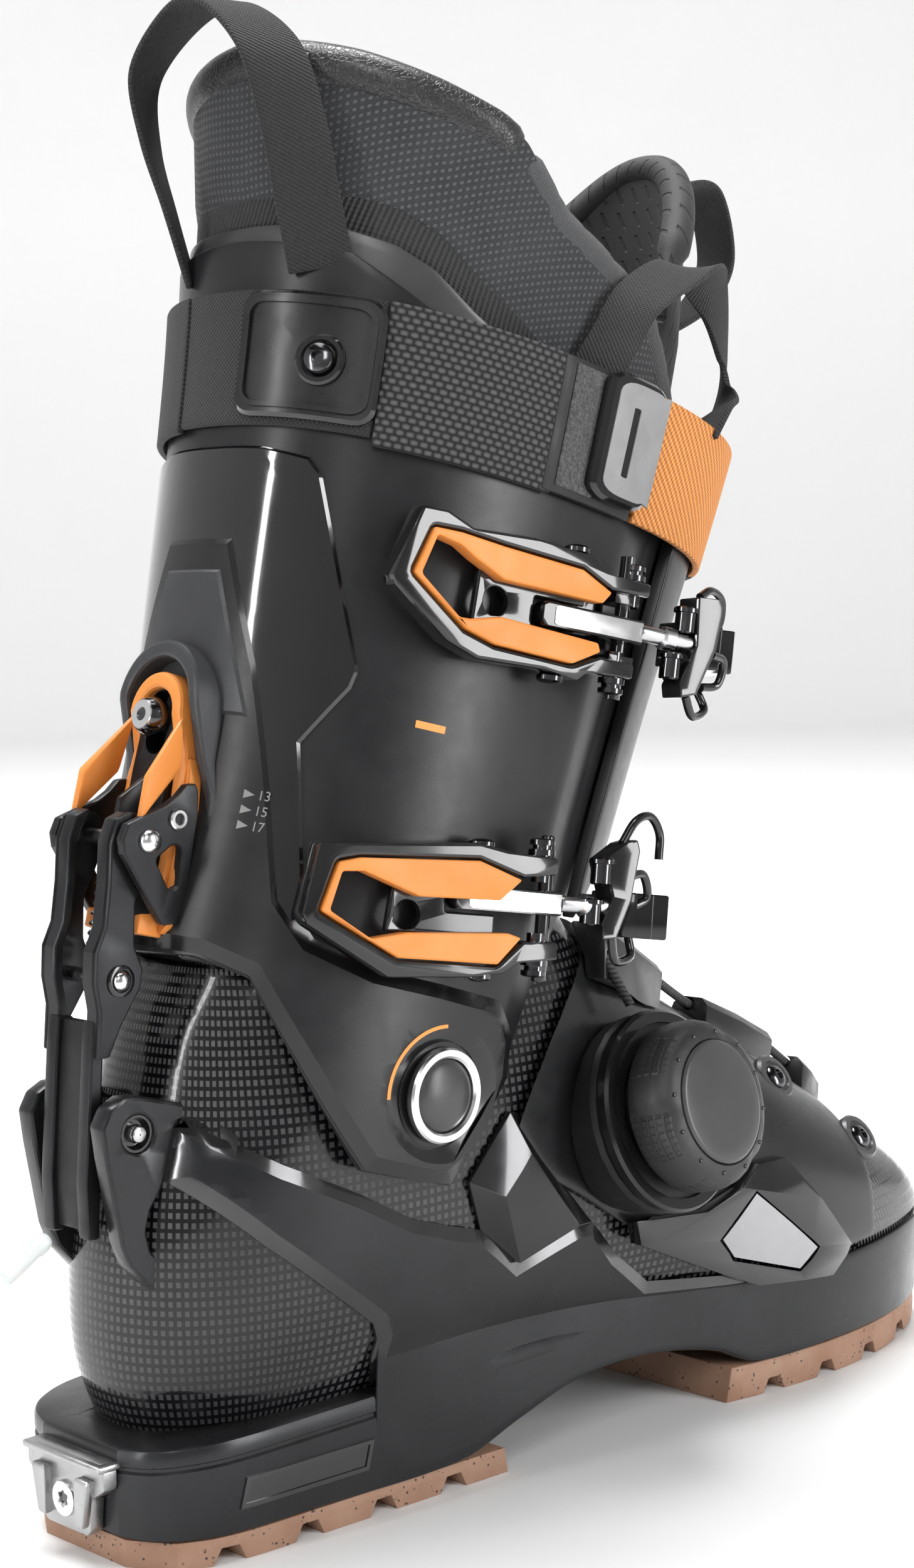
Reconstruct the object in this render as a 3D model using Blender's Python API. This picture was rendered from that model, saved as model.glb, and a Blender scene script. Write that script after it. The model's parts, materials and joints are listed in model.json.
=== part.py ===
"""Right-foot alpine touring ski boot, mondo 26.5, as separate parts with working joints.

Points in this file are millimetres in the maker's frame: X forward from the back of the sole,
Y towards the inner (medial) side, Z up from the ground.  world() turns them into metres about
the centre of the heel tread.
"""
import math

import bmesh
import bpy
from mathutils import Matrix, Vector

MM = 0.001
ORIGIN_X = 50.0                     # heel tread centre, ahead of the back of the sole
PIVOT_X, PIVOT_Z = 76.0, 107.0      # ankle pivot of the cuff
LEAN = math.radians(15)             # forward lean of the leg
GAP = 0.3                           # clearance between touching parts
SHELL_WALL = 3.2
CUFF_WALL = 3.5
ROUND = 16                          # sides of a small round part

# Cuff sections up the leg: height, rear reach, front reach, widest station, half width, exponent
CUFF = [
    (-35, -66, 60, 5, 48.5, 2.3),
    (0, -66, 66, 5, 49.5, 2.3),
    (30, -63, 70, 8, 50, 2.3),
    (70, -61, 74, 10, 52, 2.3),
    (110, -64, 80, 12, 54, 2.3),
    (150, -67, 88, 12, 56, 2.3),
    (180, -70, 93, 12, 58, 2.3),
    (215, -76, 98, 12, 60, 2.3),
]
# Lower shell sections, toe to collar: top x, z; bottom x, z; half width; exponents top, bottom
SHELL = [
    (301, 36, 301, 32, 4, 2.0, 2.0),
    (299.5, 43, 300, 27, 22, 2.2, 2.2),
    (294, 51, 296, 23.5, 34, 2.2, 2.2),
    (282, 61, 286, 19, 42, 2.2, 2.3),
    (262, 72, 268, 15, 48, 2.2, 2.4),
    (238, 86, 244, 13, 51.5, 2.2, 2.5),
    (212, 101, 215, 13, 52, 2.2, 2.5),
    (190, 114, 180, 15, 49, 2.2, 2.4),
    (172, 125, 145, 18, 46, 2.3, 2.2),
    (158, 138, 105, 18, 43.8, 2.4, 2.1),
    (150, 150, 60, 13, 43.4, 2.4, 2.1),
    (146, 158, 22, 16, 42.4, 2.4, 2.1),
    (143, 163, 8, 36, 41.5, 2.3, 2.2),
    (141, 166, 6, 62, 41, 2.3, 2.2),
    (140, 168, 9, 84, 40.5, 2.3, 2.2),
    (139, 170, 16, 105, 40, 2.3, 2.2),
    (138, 172, 22, 126, 40, 2.3, 2.2),
    (137, 174, 29, 141, 40, 2.3, 2.2),
]
LAST = len(SHELL) - 1
# Edges of the cuff: degrees from the front of the leg, height up the leg
CUFF_TOP = [(0, 183), (60, 185), (115, 186), (130, 187), (149, 197), (180, 199)]
CUFF_BOTTOM = [(0, 90), (28, 84), (46, 72), (62, 50), (75, 8), (87, -22), (107, -21), (128, 3),
               (144, 20), (160, 23), (180, 22)]
LINER_TOP = [(40, 172), (60, 186), (72, 200), (80, 209), (94, 217), (104, 222), (115, 235), (121, 238),
             (135, 241), (153, 244), (180, 247)]
LINER_BOTTOM = [(40, 96), (60, 94), (90, 84), (130, 62), (160, 50), (180, 48)]
# Sole block: x, half width, underside, top of the ledge
SOLE = [
    (0, 15, 7, 29), (3, 23, 7, 29.5), (9, 29, 7, 30), (20, 33.5, 7, 30.5), (45, 35.5, 7, 31),
    (92, 38, 7, 32), (112, 39, 13, 33), (135, 40, 19, 33), (160, 42, 20, 32), (185, 45, 16, 30),
    (200, 48, 10, 28), (230, 51, 10, 27), (258, 49, 10, 26), (280, 43, 10, 26), (292, 37, 11, 26),
    (298, 31, 12, 26), (302, 21, 13, 26),
]
FLAP_OUT = 2.8                      # outer face of the instep flap above the shell
COLLAR_FLARE = 9.0                  # how far the liner's rear leans back above the cuff

# Angles round the cuff at which its sections are cut, and the webbing loops as (u, y, s) in the leg
CUFF_ANGLES = [62, 46, 28, 14, 0, -14, -28, -46, -62, -75, -87, -97, -107, -118, -128, -144, -160,
               -170, -180, -190, -200, -216, -232, -242, -253, -263, -273, -280, -287, -295, -304,
               -314, -326, -338]
TONGUE_TOP = 272.0                  # top of the tongue, up the leg
TONGUE_LOOP = [(70, 0, 258), (83, 0, 271), (96, 0, 273), (106, 0, 256), (100, 0, 240),
               (84, 0, 226), (66.5, 0, 214)]
REAR_LOOP = [(-73.5, -27, 208), (-79.5, -24.5, 224), (-86, -18, 242), (-90, -2, 254),
             (-90, 13, 253), (-89, 26, 240), (-83, 27, 224), (-76, 23, 208)]
LATERAL_LOOP = [(6, -60, 194), (13, -60, 208), (32, -57, 222), (52, -49, 223), (67, -43, 211),
                (67, -45, 198), (60, -50, 191)]

# Lace route over the outer half of the instep, and the guides that it runs through
LACE_HALF = [(151, -45.5, 119), (148, -38, 133), (153, -32, 137), (168, -27, 129.5), (184, -23, 121),
             (206, -18, 109.5), (224, -16, 101.5), (243, -15, 92.5), (256, -14, 84.5), (265, -11, 79.5),
             (269, -5, 77.8)]
GUIDES = {
    "lace_guide_rear": [(146, -33.5, 138), (163, -28, 131), (180, -24.5, 121.5)],
    "lace_guide_middle": [(207, -18.5, 108), (224, -17, 101), (240, -16, 93)],
    "lace_guide_front": [(256, -14.5, 83), (262, -13, 79.5), (268, -11, 74.5)],
    "lace_guide_medial": [(153, 31, 135.5), (180, 24.5, 121.5), (207, 18.5, 108), (240, 16, 93),
                          (258, 14, 82)],
}

# Walk-lock mechanism on the spine
LEVER_PIN = (15.0, 173.0)
SPRING_TOP = (13.0, 165.0)
SPRING_LOW = (8.0, 140.0)
CROSS_PIN = (7.6, 104.0)
TAB_PIN = (-3.0, 80.0)
SPINE_RANGE = (22.0, 98.0)          # height of the frame round the lock, up the leg

# Lacing dial on the outer side of the instep
DIAL_BASE = Vector((151.5, -50.5, 90.0))
DIAL_AXIS = Vector((0.071, -0.963, 0.257)).normalized()

# Buckles: hinge-side frame of each lever, from its free tip towards its base pin
BUCKLES = {
    "upper": (Vector((60.0, -48.0, 236.0)), Vector((134.0, -63.0, 221.0))),
    "lower": (Vector((37.0, -42.0, 163.0)), Vector((103.0, -60.0, 153.0))),
}
LEG_UP = Vector((math.sin(LEAN), 0.0, math.cos(LEAN)))

for old in list(bpy.data.objects):
    bpy.data.objects.remove(old, do_unlink=True)


# ------------------------------------------------------------------ surfaces
def curve(table, column, x):
    """Smooth curve through one column of a table, flat beyond its ends."""
    xs = [row[0] for row in table]
    ys = [row[column] for row in table]
    if x <= xs[0]:
        return ys[0]
    if x >= xs[-1]:
        return ys[-1]
    i = max(k for k in range(len(xs) - 1) if xs[k] <= x)

    def slope(k):
        low, high = max(k - 1, 0), min(k + 1, len(xs) - 1)
        return (ys[high] - ys[low]) / (xs[high] - xs[low])

    span = xs[i + 1] - xs[i]
    t = (x - xs[i]) / span
    start, end = slope(i) * span, slope(i + 1) * span
    return ((2 * t**3 - 3 * t**2 + 1) * ys[i] + (t**3 - 2 * t**2 + t) * start
            + (3 * t**2 - 2 * t**3) * ys[i + 1] + (t**3 - t**2) * end)


def edge(table, degrees):
    """Height of an edge, read by straight lines, the same on both sides of the boot."""
    angle = abs((degrees + 180) % 360 - 180)
    for (a, low), (b, high) in zip(table, table[1:]):
        if angle <= b:
            return low + (high - low) * max(0.0, angle - a) / (b - a)
    return table[-1][1]


def power(value, exponent):
    return math.copysign(abs(value) ** (2 / exponent), value)


def leg(u, y, s):
    """A point in the leg's frame: u forward, s up along the leg, from the ankle pivot."""
    return Vector((PIVOT_X + u * math.cos(LEAN) + s * math.sin(LEAN), y,
                   PIVOT_Z - u * math.sin(LEAN) + s * math.cos(LEAN)))


def on_leg(points):
    return [leg(*p) for p in points]


def cuff_point(degrees, s, off=0.0):
    """Cuff surface: 0 degrees is the front, 90 the outer side, 180 the back."""
    rear, front, middle, wide, exponent = (curve(CUFF, k, s) for k in range(1, 6))
    c = power(math.cos(math.radians(degrees)), exponent)
    side = power(math.sin(math.radians(degrees)), exponent)
    reach = front - middle + off if c > 0 else middle - rear + off
    return leg(middle + reach * c, -(wide + off) * side, s)


SHELL_TABLE = [(k,) + row for k, row in enumerate(SHELL)]


def shell_point(degrees, station, off=0.0):
    """Lower shell surface: 0 degrees is the instep, 90 the outer side, 180 the sole or heel."""
    row = [curve(SHELL_TABLE, k, station) for k in range(1, 8)]
    top, bottom = Vector((row[0], 0, row[1])), Vector((row[2], 0, row[3]))
    middle, half = (top + bottom) / 2, (top - bottom) / 2
    angle = math.radians(degrees)
    exponent = row[5] if math.cos(angle) > 0 else row[6]
    along = half.normalized() * (half.length + off) * power(math.cos(angle), exponent)
    return middle + along - Vector((0, (row[4] + off) * power(math.sin(angle), exponent), 0))


# ------------------------------------------------------------------ solids
def world(point):
    return Vector(((point[0] - ORIGIN_X) * MM, point[1] * MM, point[2] * MM))


def loft(rings):
    """Closed solid through rings of equal point counts."""
    count = len(rings[0])
    verts = [p for ring in rings for p in ring]
    faces = [tuple(range(count)), tuple(range(len(verts) - 1, len(verts) - count - 1, -1))]
    for r in range(len(rings) - 1):
        for k in range(count):
            n = (k + 1) % count
            faces.append((r * count + k, r * count + n, (r + 1) * count + n, (r + 1) * count + k))
    return verts, faces


def pot(outer, inner):
    """Hollow solid: both skins closed at their first ring and joined at their last one."""
    return loft(outer + inner[::-1])


def sleeve(outer, inner):
    """Hollow solid open at both ends."""
    rings = outer + inner[::-1]
    count = len(rings[0])
    verts = [p for ring in rings for p in ring]
    faces = []
    for r in range(len(rings)):
        q = (r + 1) % len(rings)
        for k in range(count):
            n = (k + 1) % count
            faces.append((r * count + k, r * count + n, q * count + n, q * count + k))
    return verts, faces


def slab(low, high):
    """Closed solid between two grids of points."""
    rings = []
    for bottom, top in zip(low, high):
        rings.append(list(bottom) + list(top)[::-1])
    return loft(rings)


def prism(outline, place, low, high):
    """Flat outline given thickness; place(a, b, h) puts its points in space."""
    return loft([[place(a, b, low) for a, b in outline], [place(a, b, high) for a, b in outline]])


def side_view(y_to_h=1.0):
    """Placement for outlines drawn in the boot's side view."""
    return lambda a, b, h: Vector((a, h * y_to_h, b))


def frame_of(start, end, up):
    """Axes along start to end, upwards, and outwards."""
    along = (end - start).normalized()
    rise = (up - along * up.dot(along)).normalized()
    return along, rise, along.cross(rise)


def across(axis):
    """Two directions square to an axis."""
    axis = Vector(axis).normalized()
    guide = Vector((0, 0, 1)) if abs(axis.z) < 0.8 else Vector((1, 0, 0))
    first = axis.cross(guide).normalized()
    return first, axis.cross(first)


def turned(profile, base, axis, sides=ROUND):
    """Solid turned about an axis; the profile is (radius, height) and ends on the axis or not."""
    axis = Vector(axis).normalized()
    first, second = across(axis)
    rings = []
    for radius, height in profile:
        ring = []
        for k in range(sides):
            a = 2 * math.pi * k / sides
            ring.append(Vector(base) + axis * height
                        + (first * math.cos(a) + second * math.sin(a)) * radius)
        rings.append(ring)
    return rings


def rod(start, end, radius, sides=ROUND):
    start, end = Vector(start), Vector(end)
    return loft(turned([(radius, 0), (radius, (end - start).length)], start, end - start, sides))


def sweep(path, radius, sides=6, flat=None, up=None):
    """Tube or strap along a path; flat gives (half width, half thickness) about the up vector."""
    rings = []
    for k, point in enumerate(path):
        ahead = Vector(path[min(k + 1, len(path) - 1)]) - Vector(path[max(k - 1, 0)])
        ahead.normalize()
        if flat:
            side = Vector(up).normalized()
            out = ahead.cross(side).normalized()
            corners = [(-1, -1), (1, -1), (1, 1), (-1, 1)]
            rings.append([Vector(point) + side * flat[0] * i + out * flat[1] * j
                          for i, j in corners])
        else:
            if k == 0:
                first, second = across(ahead)
            else:
                first = (first - ahead * first.dot(ahead)).normalized()
                second = ahead.cross(first)
            rings.append([Vector(point) + (first * math.cos(2 * math.pi * i / sides)
                          + second * math.sin(2 * math.pi * i / sides)) * radius
                          for i in range(sides)])
    return loft(rings)


def smooth_path(points, steps):
    """Catmull-Rom curve through hand-placed points."""
    points = [Vector(p) for p in points]
    points = [2 * points[0] - points[1]] + points + [2 * points[-1] - points[-2]]
    path = []
    for a, b, c, d in zip(points, points[1:], points[2:], points[3:]):
        for k in range(steps):
            t = k / steps
            path.append(0.5 * (2 * b + (c - a) * t + (2 * a - 5 * b + 4 * c - d) * t**2
                               + (3 * b - a - 3 * c + d) * t**3))
    return path + [points[-2]]


def spread(low, high, count):
    return [low + (high - low) * k / (count - 1) for k in range(count)]


def arc(centre, radius, start, end, count):
    """Points of an arc in an outline, in degrees."""
    return [(centre[0] + radius * math.cos(math.radians(a)),
             centre[1] + radius * math.sin(math.radians(a))) for a in spread(start, end, count)]


# ------------------------------------------------------------------ objects
def new_object(name, shape, pivot=None):
    verts, faces = shape
    origin = world(pivot) if pivot is not None else Vector((0, 0, 0))
    mesh = bpy.data.meshes.new(name)
    mesh.from_pydata([world(v) - origin for v in verts], [], faces)
    bm = bmesh.new()
    bm.from_mesh(mesh)
    bmesh.ops.recalc_face_normals(bm, faces=bm.faces)
    bm.to_mesh(mesh)
    bm.free()
    obj = bpy.data.objects.new(name, mesh)
    obj.location = origin
    bpy.context.scene.collection.objects.link(obj)
    return obj


def part(name, shape, finish, pivot=None):
    """A named sub-part with its own material; finish is colour, roughness and metallic."""
    obj = new_object(name, shape, pivot)
    material = bpy.data.materials.new(name)
    material.use_nodes = True
    shader = material.node_tree.nodes["Principled BSDF"]
    shader.inputs["Base Color"].default_value = (*finish[0], 1.0)
    shader.inputs["Roughness"].default_value = finish[1]
    shader.inputs["Metallic"].default_value = finish[2]
    obj.data.materials.append(material)
    obj.data.shade_smooth()
    obj.data.set_sharp_from_angle(angle=math.radians(35))
    return obj


def helper(name, shape):
    """A cutter or joining body, which is not part of the boot."""
    obj = new_object(name, shape)
    obj.hide_render = True
    obj.display_type = 'WIRE'
    return obj


def combine(obj, operation, *tools):
    for tool in tools:
        modifier = obj.modifiers.new(tool.name, 'BOOLEAN')
        modifier.operation = operation
        modifier.solver = 'EXACT'
        modifier.object = tool


def cut(obj, *tools):
    combine(obj, 'DIFFERENCE', *tools)


def join(obj, *tools):
    combine(obj, 'UNION', *tools)


BLACK_GLOSS = ((0.012, 0.012, 0.013), 0.22, 0.0)
BLACK_MATTE = ((0.02, 0.02, 0.022), 0.55, 0.0)
CHARCOAL = ((0.045, 0.047, 0.05), 0.5, 0.0)
GREY = ((0.10, 0.10, 0.105), 0.4, 0.2)
TEXTILE = ((0.06, 0.062, 0.066), 0.9, 0.0)
WEBBING = ((0.03, 0.03, 0.033), 0.9, 0.0)
ORANGE = ((0.85, 0.32, 0.08), 0.45, 0.0)
GUM = ((0.42, 0.26, 0.18), 0.8, 0.0)
STEEL = ((0.55, 0.55, 0.56), 0.3, 1.0)
DARK_STEEL = ((0.12, 0.12, 0.125), 0.25, 1.0)
CLEAR_TAB = ((0.75, 0.75, 0.74), 0.4, 0.0)

TURN = spread(0, 360 * 23 / 24, 24)             # angles round a closed section


def shell_core(name, off):
    """Solid filling the lower shell's outer surface, grown by off."""
    rings = [[shell_point(a, q, off) for a in TURN] for q in range(0, LAST + 1)]
    return helper(name, loft(rings))


def cuff_core(name, off):
    rings = [[cuff_point(a, s, off) for a in TURN] for s in (-40, -15, 10, 40, 70, 110, 150, 180, 215)]
    return helper(name, loft(rings))


# ------------------------------------------------------------------ lower shell and sole
def make_lower_shell():
    outer = [[shell_point(a, q) for a in TURN] for q in range(0, LAST + 1)]
    inner = [[shell_point(a, max(q, 1.3), -SHELL_WALL) for a in TURN] for q in range(1, LAST + 1)]
    part("lower_shell", pot(outer, inner), BLACK_GLOSS)


def make_boot_board():
    stations = range(4, 11)
    angles = spread(150, 210, 5)
    low = [[shell_point(a, q, -6.2) for a in angles] for q in stations]
    high = [[shell_point(a, q, -SHELL_WALL - 0.9) for a in angles] for q in stations]
    part("boot_board", slab(low, high), GREY)


def make_instep_flap():
    stations = range(4, 13)
    angles = spread(-60, 60, 9)
    low = [[shell_point(a, q, 0.6) for a in angles] for q in stations]
    high = [[shell_point(a, q, FLAP_OUT) for a in angles] for q in stations]
    flap = part("instep_flap", slab(low, high), GREY)
    cut(flap, cuff_core("cut_cuff_flap", 0.5))


def make_sole_base():
    rings = []
    for x, w, low, high in SOLE:
        rings.append([Vector((x, -w + 2, low)), Vector((x, w - 2, low)), Vector((x, w, low + 3)),
                      Vector((x, w, high - 1)), Vector((x, w - 1, high)),
                      Vector((x, -w + 1, high)), Vector((x, -w, high - 1)), Vector((x, -w, low + 3))])
    base = part("sole_base", loft(rings), GREY)
    cut(base, shell_core("cut_shell_sole", 0.6))
    for side in (-1, 1):
        cut(base, helper(f"cut_toe_socket_{side}", rod((296, side * 20, 16.5), (296, side * 45, 16.5), 5.3)))


def tread(name, profile, x_range, top):
    """Rubber tread: its lugs are drawn in side view and trimmed to the sole's outline."""
    body = part(name, prism(profile, side_view(), -60, 60), GUM)
    count = 16
    upper = [(x, curve(SOLE, 1, x) - 1.0) for x in spread(x_range[0], x_range[1], count)]
    outline = upper + [(x, -y) for x, y in upper[::-1]]
    trim = prism(outline, lambda a, b, h: Vector((a, b, h)), -1, top + 1)
    combine(body, 'INTERSECT', helper(f"trim_{name}", trim))


def lugs(start, end, count, depth, lift=lambda x: 0.0):
    """Underside of a tread: trapezoid lugs between narrower grooves, back to front."""
    points = []
    pitch = (end - start) / count
    for k in range(count):
        x = start + k * pitch
        points += [(x, lift(x)), (x + 0.62 * pitch, lift(x + 0.62 * pitch))]
        if k < count - 1:
            points += [(x + 0.72 * pitch, depth + lift(x + 0.72 * pitch)),
                       (x + 0.92 * pitch, depth + lift(x + 0.92 * pitch))]
    return points


def make_treads():
    heel = lugs(1, 118, 5, 4.0)
    heel += [(108, 6.7), (1, 6.7)]
    tread("tread_heel", heel, (0.5, 112), 7)

    def rocker(x):
        return 3.4 * max(0.0, (x - 255) / 45) ** 2

    front = lugs(190, 322, 6, 4.0, rocker)
    front = [(x, z) for x, z in front if x < 300]
    front += [(301, 7.0), (300, 9.7), (192, 9.7)]
    tread("tread_forefoot", front, (185, 301), 10)


def make_exo_frames():
    """Raised structural frame moulded on each side of the lower shell."""
    outline = [(14, 92), (16, 109), (24, 102), (36, 94.5), (56, 84.5), (72, 75.5), (84, 71.5), (94.5, 68.5),
               (91, 81.5), (105.5, 97.5), (108.5, 96.5), (119.5, 80.5), (136, 62.5), (145.5, 52), (160, 41),
               (200, 36), (228, 33), (228, 28), (190, 31), (150, 34), (112, 34.5), (66, 33), (63, 41),
               (63.5, 46), (61.5, 50.5), (46.5, 62.5), (31, 75.5), (18, 88)]
    for side, label in ((-1, "lateral"), (1, "medial")):
        rings = []
        for off in (FLAP_OUT, 0.6):
            rings.append([[shell_point(a, q, off) for a in TURN] for q in range(1, LAST + 1)])
        frame = part(f"exo_frame_{label}", sleeve(rings[0], rings[1]), GREY)
        trim = helper(f"trim_exo_{label}", prism(outline, side_view(), side * 12, side * 60))
        combine(frame, 'INTERSECT', trim)


def make_heel_bracket():
    """Twin arms behind the heel that carry the cross pin which the walk lever locks on."""
    arm = [(-1, 98), (1, 111), (6, 114), (12, 112), (16, 104), (17, 94), (20, 80), (20, 64),
           (9, 62), (1, 66), (-3, 78)]
    bracket = part("heel_bracket", prism(arm, side_view(), 13.2, 16.2), GREY)
    join(bracket, helper("join_bracket_arm", prism(arm, side_view(), -16.2, -13.2)))
    bridge = [(0.5, 62.5), (0.5, 71), (20, 71), (20, 62.5)]
    join(bracket, helper("join_bracket_bridge", prism(bridge, side_view(), -14, 14)))
    cut(bracket, shell_core("cut_shell_bracket", FLAP_OUT + GAP))
    x, z = CROSS_PIN
    cut(bracket, helper("cut_cross_pin", rod((x, -20, z), (x, 20, z), 2.3)))
    part("heel_cross_pin", rod((x, -18, z), (x, 18, z), 2.0), STEEL)


def make_tech_fittings():
    plate = [(-14.4, 19), (-14.4, 24), (14.4, 24), (14.4, 19), (9.5, 17), (9.5, 8), (-9.5, 8), (-9.5, 17)]
    part("heel_tech_fitting",
         prism(plate, lambda a, b, h: Vector((h, a, b)), -4.0, -0.4), DARK_STEEL)
    for side, label in ((-1, "lateral"), (1, "medial")):
        profile = [(4.9, 0), (4.9, 10.5), (4.4, 11.2), (2.6, 11.2), (1.0, 7.0)]
        shape = loft(turned(profile, (296, side * 21.5, 16.5), (0, side, 0)))
        part(f"toe_insert_{label}", shape, STEEL)


# ------------------------------------------------------------------ liner
def liner_off(degrees):
    """The liner stands back where the cuff's lower flap tucks under the upper one."""
    angle = (degrees + 180) % 360 - 180
    return curve([(-20, -5.2), (12, -8.9), (70, -8.9), (95, -5.2)], 1, angle)


def make_liner_foot():
    def off(degrees, depth):
        angle = abs((degrees + 180) % 360 - 180)
        return -4.2 - depth - 3.0 * min(1.0, max(0.0, (angle - 105) / 30))

    stations = range(2, LAST)
    outer = [[shell_point(a, q, off(a, 0)) for a in TURN] for q in stations]
    inner = [[shell_point(a, q, off(a, 6)) for a in TURN] for q in stations[1:]]
    part("liner_foot", pot(outer, inner), TEXTILE)


def make_liner_collar():
    angles = spread(40, 320, 25)
    fractions = spread(0, 1, 6)
    low, high = [], []
    for a in angles:
        bottom, top = edge(LINER_BOTTOM, a), edge(LINER_TOP, a)
        heights = [bottom + (top - bottom) * f for f in fractions]
        rear = max(0.0, -math.cos(math.radians(a)))
        offs = [liner_off(a) + rear * COLLAR_FLARE * max(0.0, s - 205) / 40 for s in heights]
        low.append([cuff_point(a, s, off - 7) for s, off in zip(heights, offs)])
        high.append([cuff_point(a, s, off) for s, off in zip(heights, offs)])
    part("liner_collar", slab(low, high), TEXTILE)


# Webbing loops of the liner
def make_liner_tongue():
    angles = spread(-60, 60, 11)
    grids = []
    for off in (-23, -17.8):
        grid = []
        for a in angles:
            top = TONGUE_TOP - 46 * abs(a / 60) ** 2
            grid.append([cuff_point(a, s, off - 9 * max(0.0, s - 200) / 74 * math.cos(math.radians(a)))
                         for s in spread(100, top, 7)])
        grids.append(grid)
    tongue = part("liner_tongue", slab(grids[0], grids[1]), TEXTILE)
    loop = sweep(smooth_path(on_leg(TONGUE_LOOP), 2), 0, flat=(7, 0.8), up=(0, 1, 0))
    join(tongue, helper("join_tongue_loop", loop))


def make_pull_loops():
    rear = sweep(smooth_path(on_leg(REAR_LOOP), 2), 0, flat=(8, 0.8), up=(0.9, 0.43, 0))
    part("pull_loop_rear", rear, WEBBING)
    lateral = sweep(smooth_path(on_leg(LATERAL_LOOP), 2), 0, flat=(6, 0.8), up=(0.3, 0.95, 0))
    part("pull_loop_lateral", lateral, WEBBING)


# ------------------------------------------------------------------ cuff
def tuck(degrees):
    """How far the cuff's outer flap edge dives under the flap that closes over it."""
    return -4.3 * min(1.0, max(0.0, (-278 - degrees) / 14))


def cuff_shell_grid(extra, rows):
    grid = []
    for a in CUFF_ANGLES:
        bottom, top = edge(CUFF_BOTTOM, a), edge(CUFF_TOP, a)
        grid.append([cuff_point(a, bottom + (top - bottom) * k / rows, tuck(a) + extra)
                     for k in range(rows + 1)])
    return grid


def make_cuff_shell():
    shape = slab(cuff_shell_grid(-CUFF_WALL, 7), cuff_shell_grid(0.0, 7))
    cuff = part("cuff_shell", shape, CHARCOAL, pivot=(PIVOT_X, 0, PIVOT_Z))
    bore = rod((PIVOT_X, -60, PIVOT_Z), (PIVOT_X, 60, PIVOT_Z), 8.0, 20)
    cut(cuff, helper("cut_cuff_pivot", bore))


def make_pivots():
    for side, label in ((-1, "lateral"), (1, "medial")):
        base = (PIVOT_X, side * 45.1, PIVOT_Z)
        axis = (0, side, 0)
        pin = [(7.4, 0), (7.4, 5.0), (11.8, 5.0), (11.8, 6.0), (9.4, 6.8), (9.2, 6.4), (3.0, 7.0)]
        part(f"pivot_pin_{label}", loft(turned(pin, base, axis, 20)), DARK_STEEL)


def cuff_band(name, t_range, s_range, low, high, finish, columns=0, s_of=None):
    columns = columns or max(2, int(abs(t_range[1] - t_range[0]) / 11) + 1)
    angles = spread(t_range[0], t_range[1], columns)
    grids = []
    for off in (low, high):
        grid = []
        for a in angles:
            bottom, top = s_of(a) if s_of else s_range
            grid.append([cuff_point(a, s, off) for s in spread(bottom, top, 3)])
        grids.append(grid)
    return part(name, slab(grids[0], grids[1]), finish)


def make_power_strap():
    cuff_band("strap_anchor_lateral", (172.5, 139), (155, 186), 1.0, 6.0, BLACK_MATTE)
    cuff_band("strap_elastic", (138, 84), (151, 186), 1.0, 2.8, WEBBING)
    cuff_band("strap_buckle_plate", (93.5, 83), (154, 186), 3.3, 6.2, GREY)
    cuff_band("strap_webbing", (82.5, -186), (152, 186), 1.0, 2.8, WEBBING)


def make_cuff_panels():
    def back_panel(a):
        return (26 + max(0.0, 148 - a) * 1.2, 149 - max(0.0, 149 - a) * 3.0)

    panel = cuff_band("backbone_panel", (207, 142), None, 0.6, 1.8, BLACK_GLOSS, 7, back_panel)
    block = prism([(18, 15), (18, 102), (-18, 102), (-18, 15)], spine, -40, -80)
    cut(panel, helper("cut_panel_spine", block))


# ------------------------------------------------------------------ walk lock
def spine(a, s, u):
    """Outlines of the spine: a sideways, s up the leg, u behind the ankle pivot."""
    return leg(u, a, s)


def make_spine_frame():
    low = SPINE_RANGE[0]
    outer = [(17.5, low)] + [(17.5, 62), (15.5, 70)] + arc((0, 83), 15.5, 0, 180, 9)
    outer += [(-15.5, 70), (-17.5, 62), (-17.5, low)]
    inner = [(-14.5, low), (-14.5, 61), (-12.2, 70)] + arc((0, 82), 12.2, 180, 0, 9)
    inner += [(12.2, 70), (14.5, 61), (14.5, low)]
    frame = part("spine_frame", prism(outer + inner, spine, -50, -71), GREY)
    cut(frame, cuff_core("cut_cuff_spine", 2.0))


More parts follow.
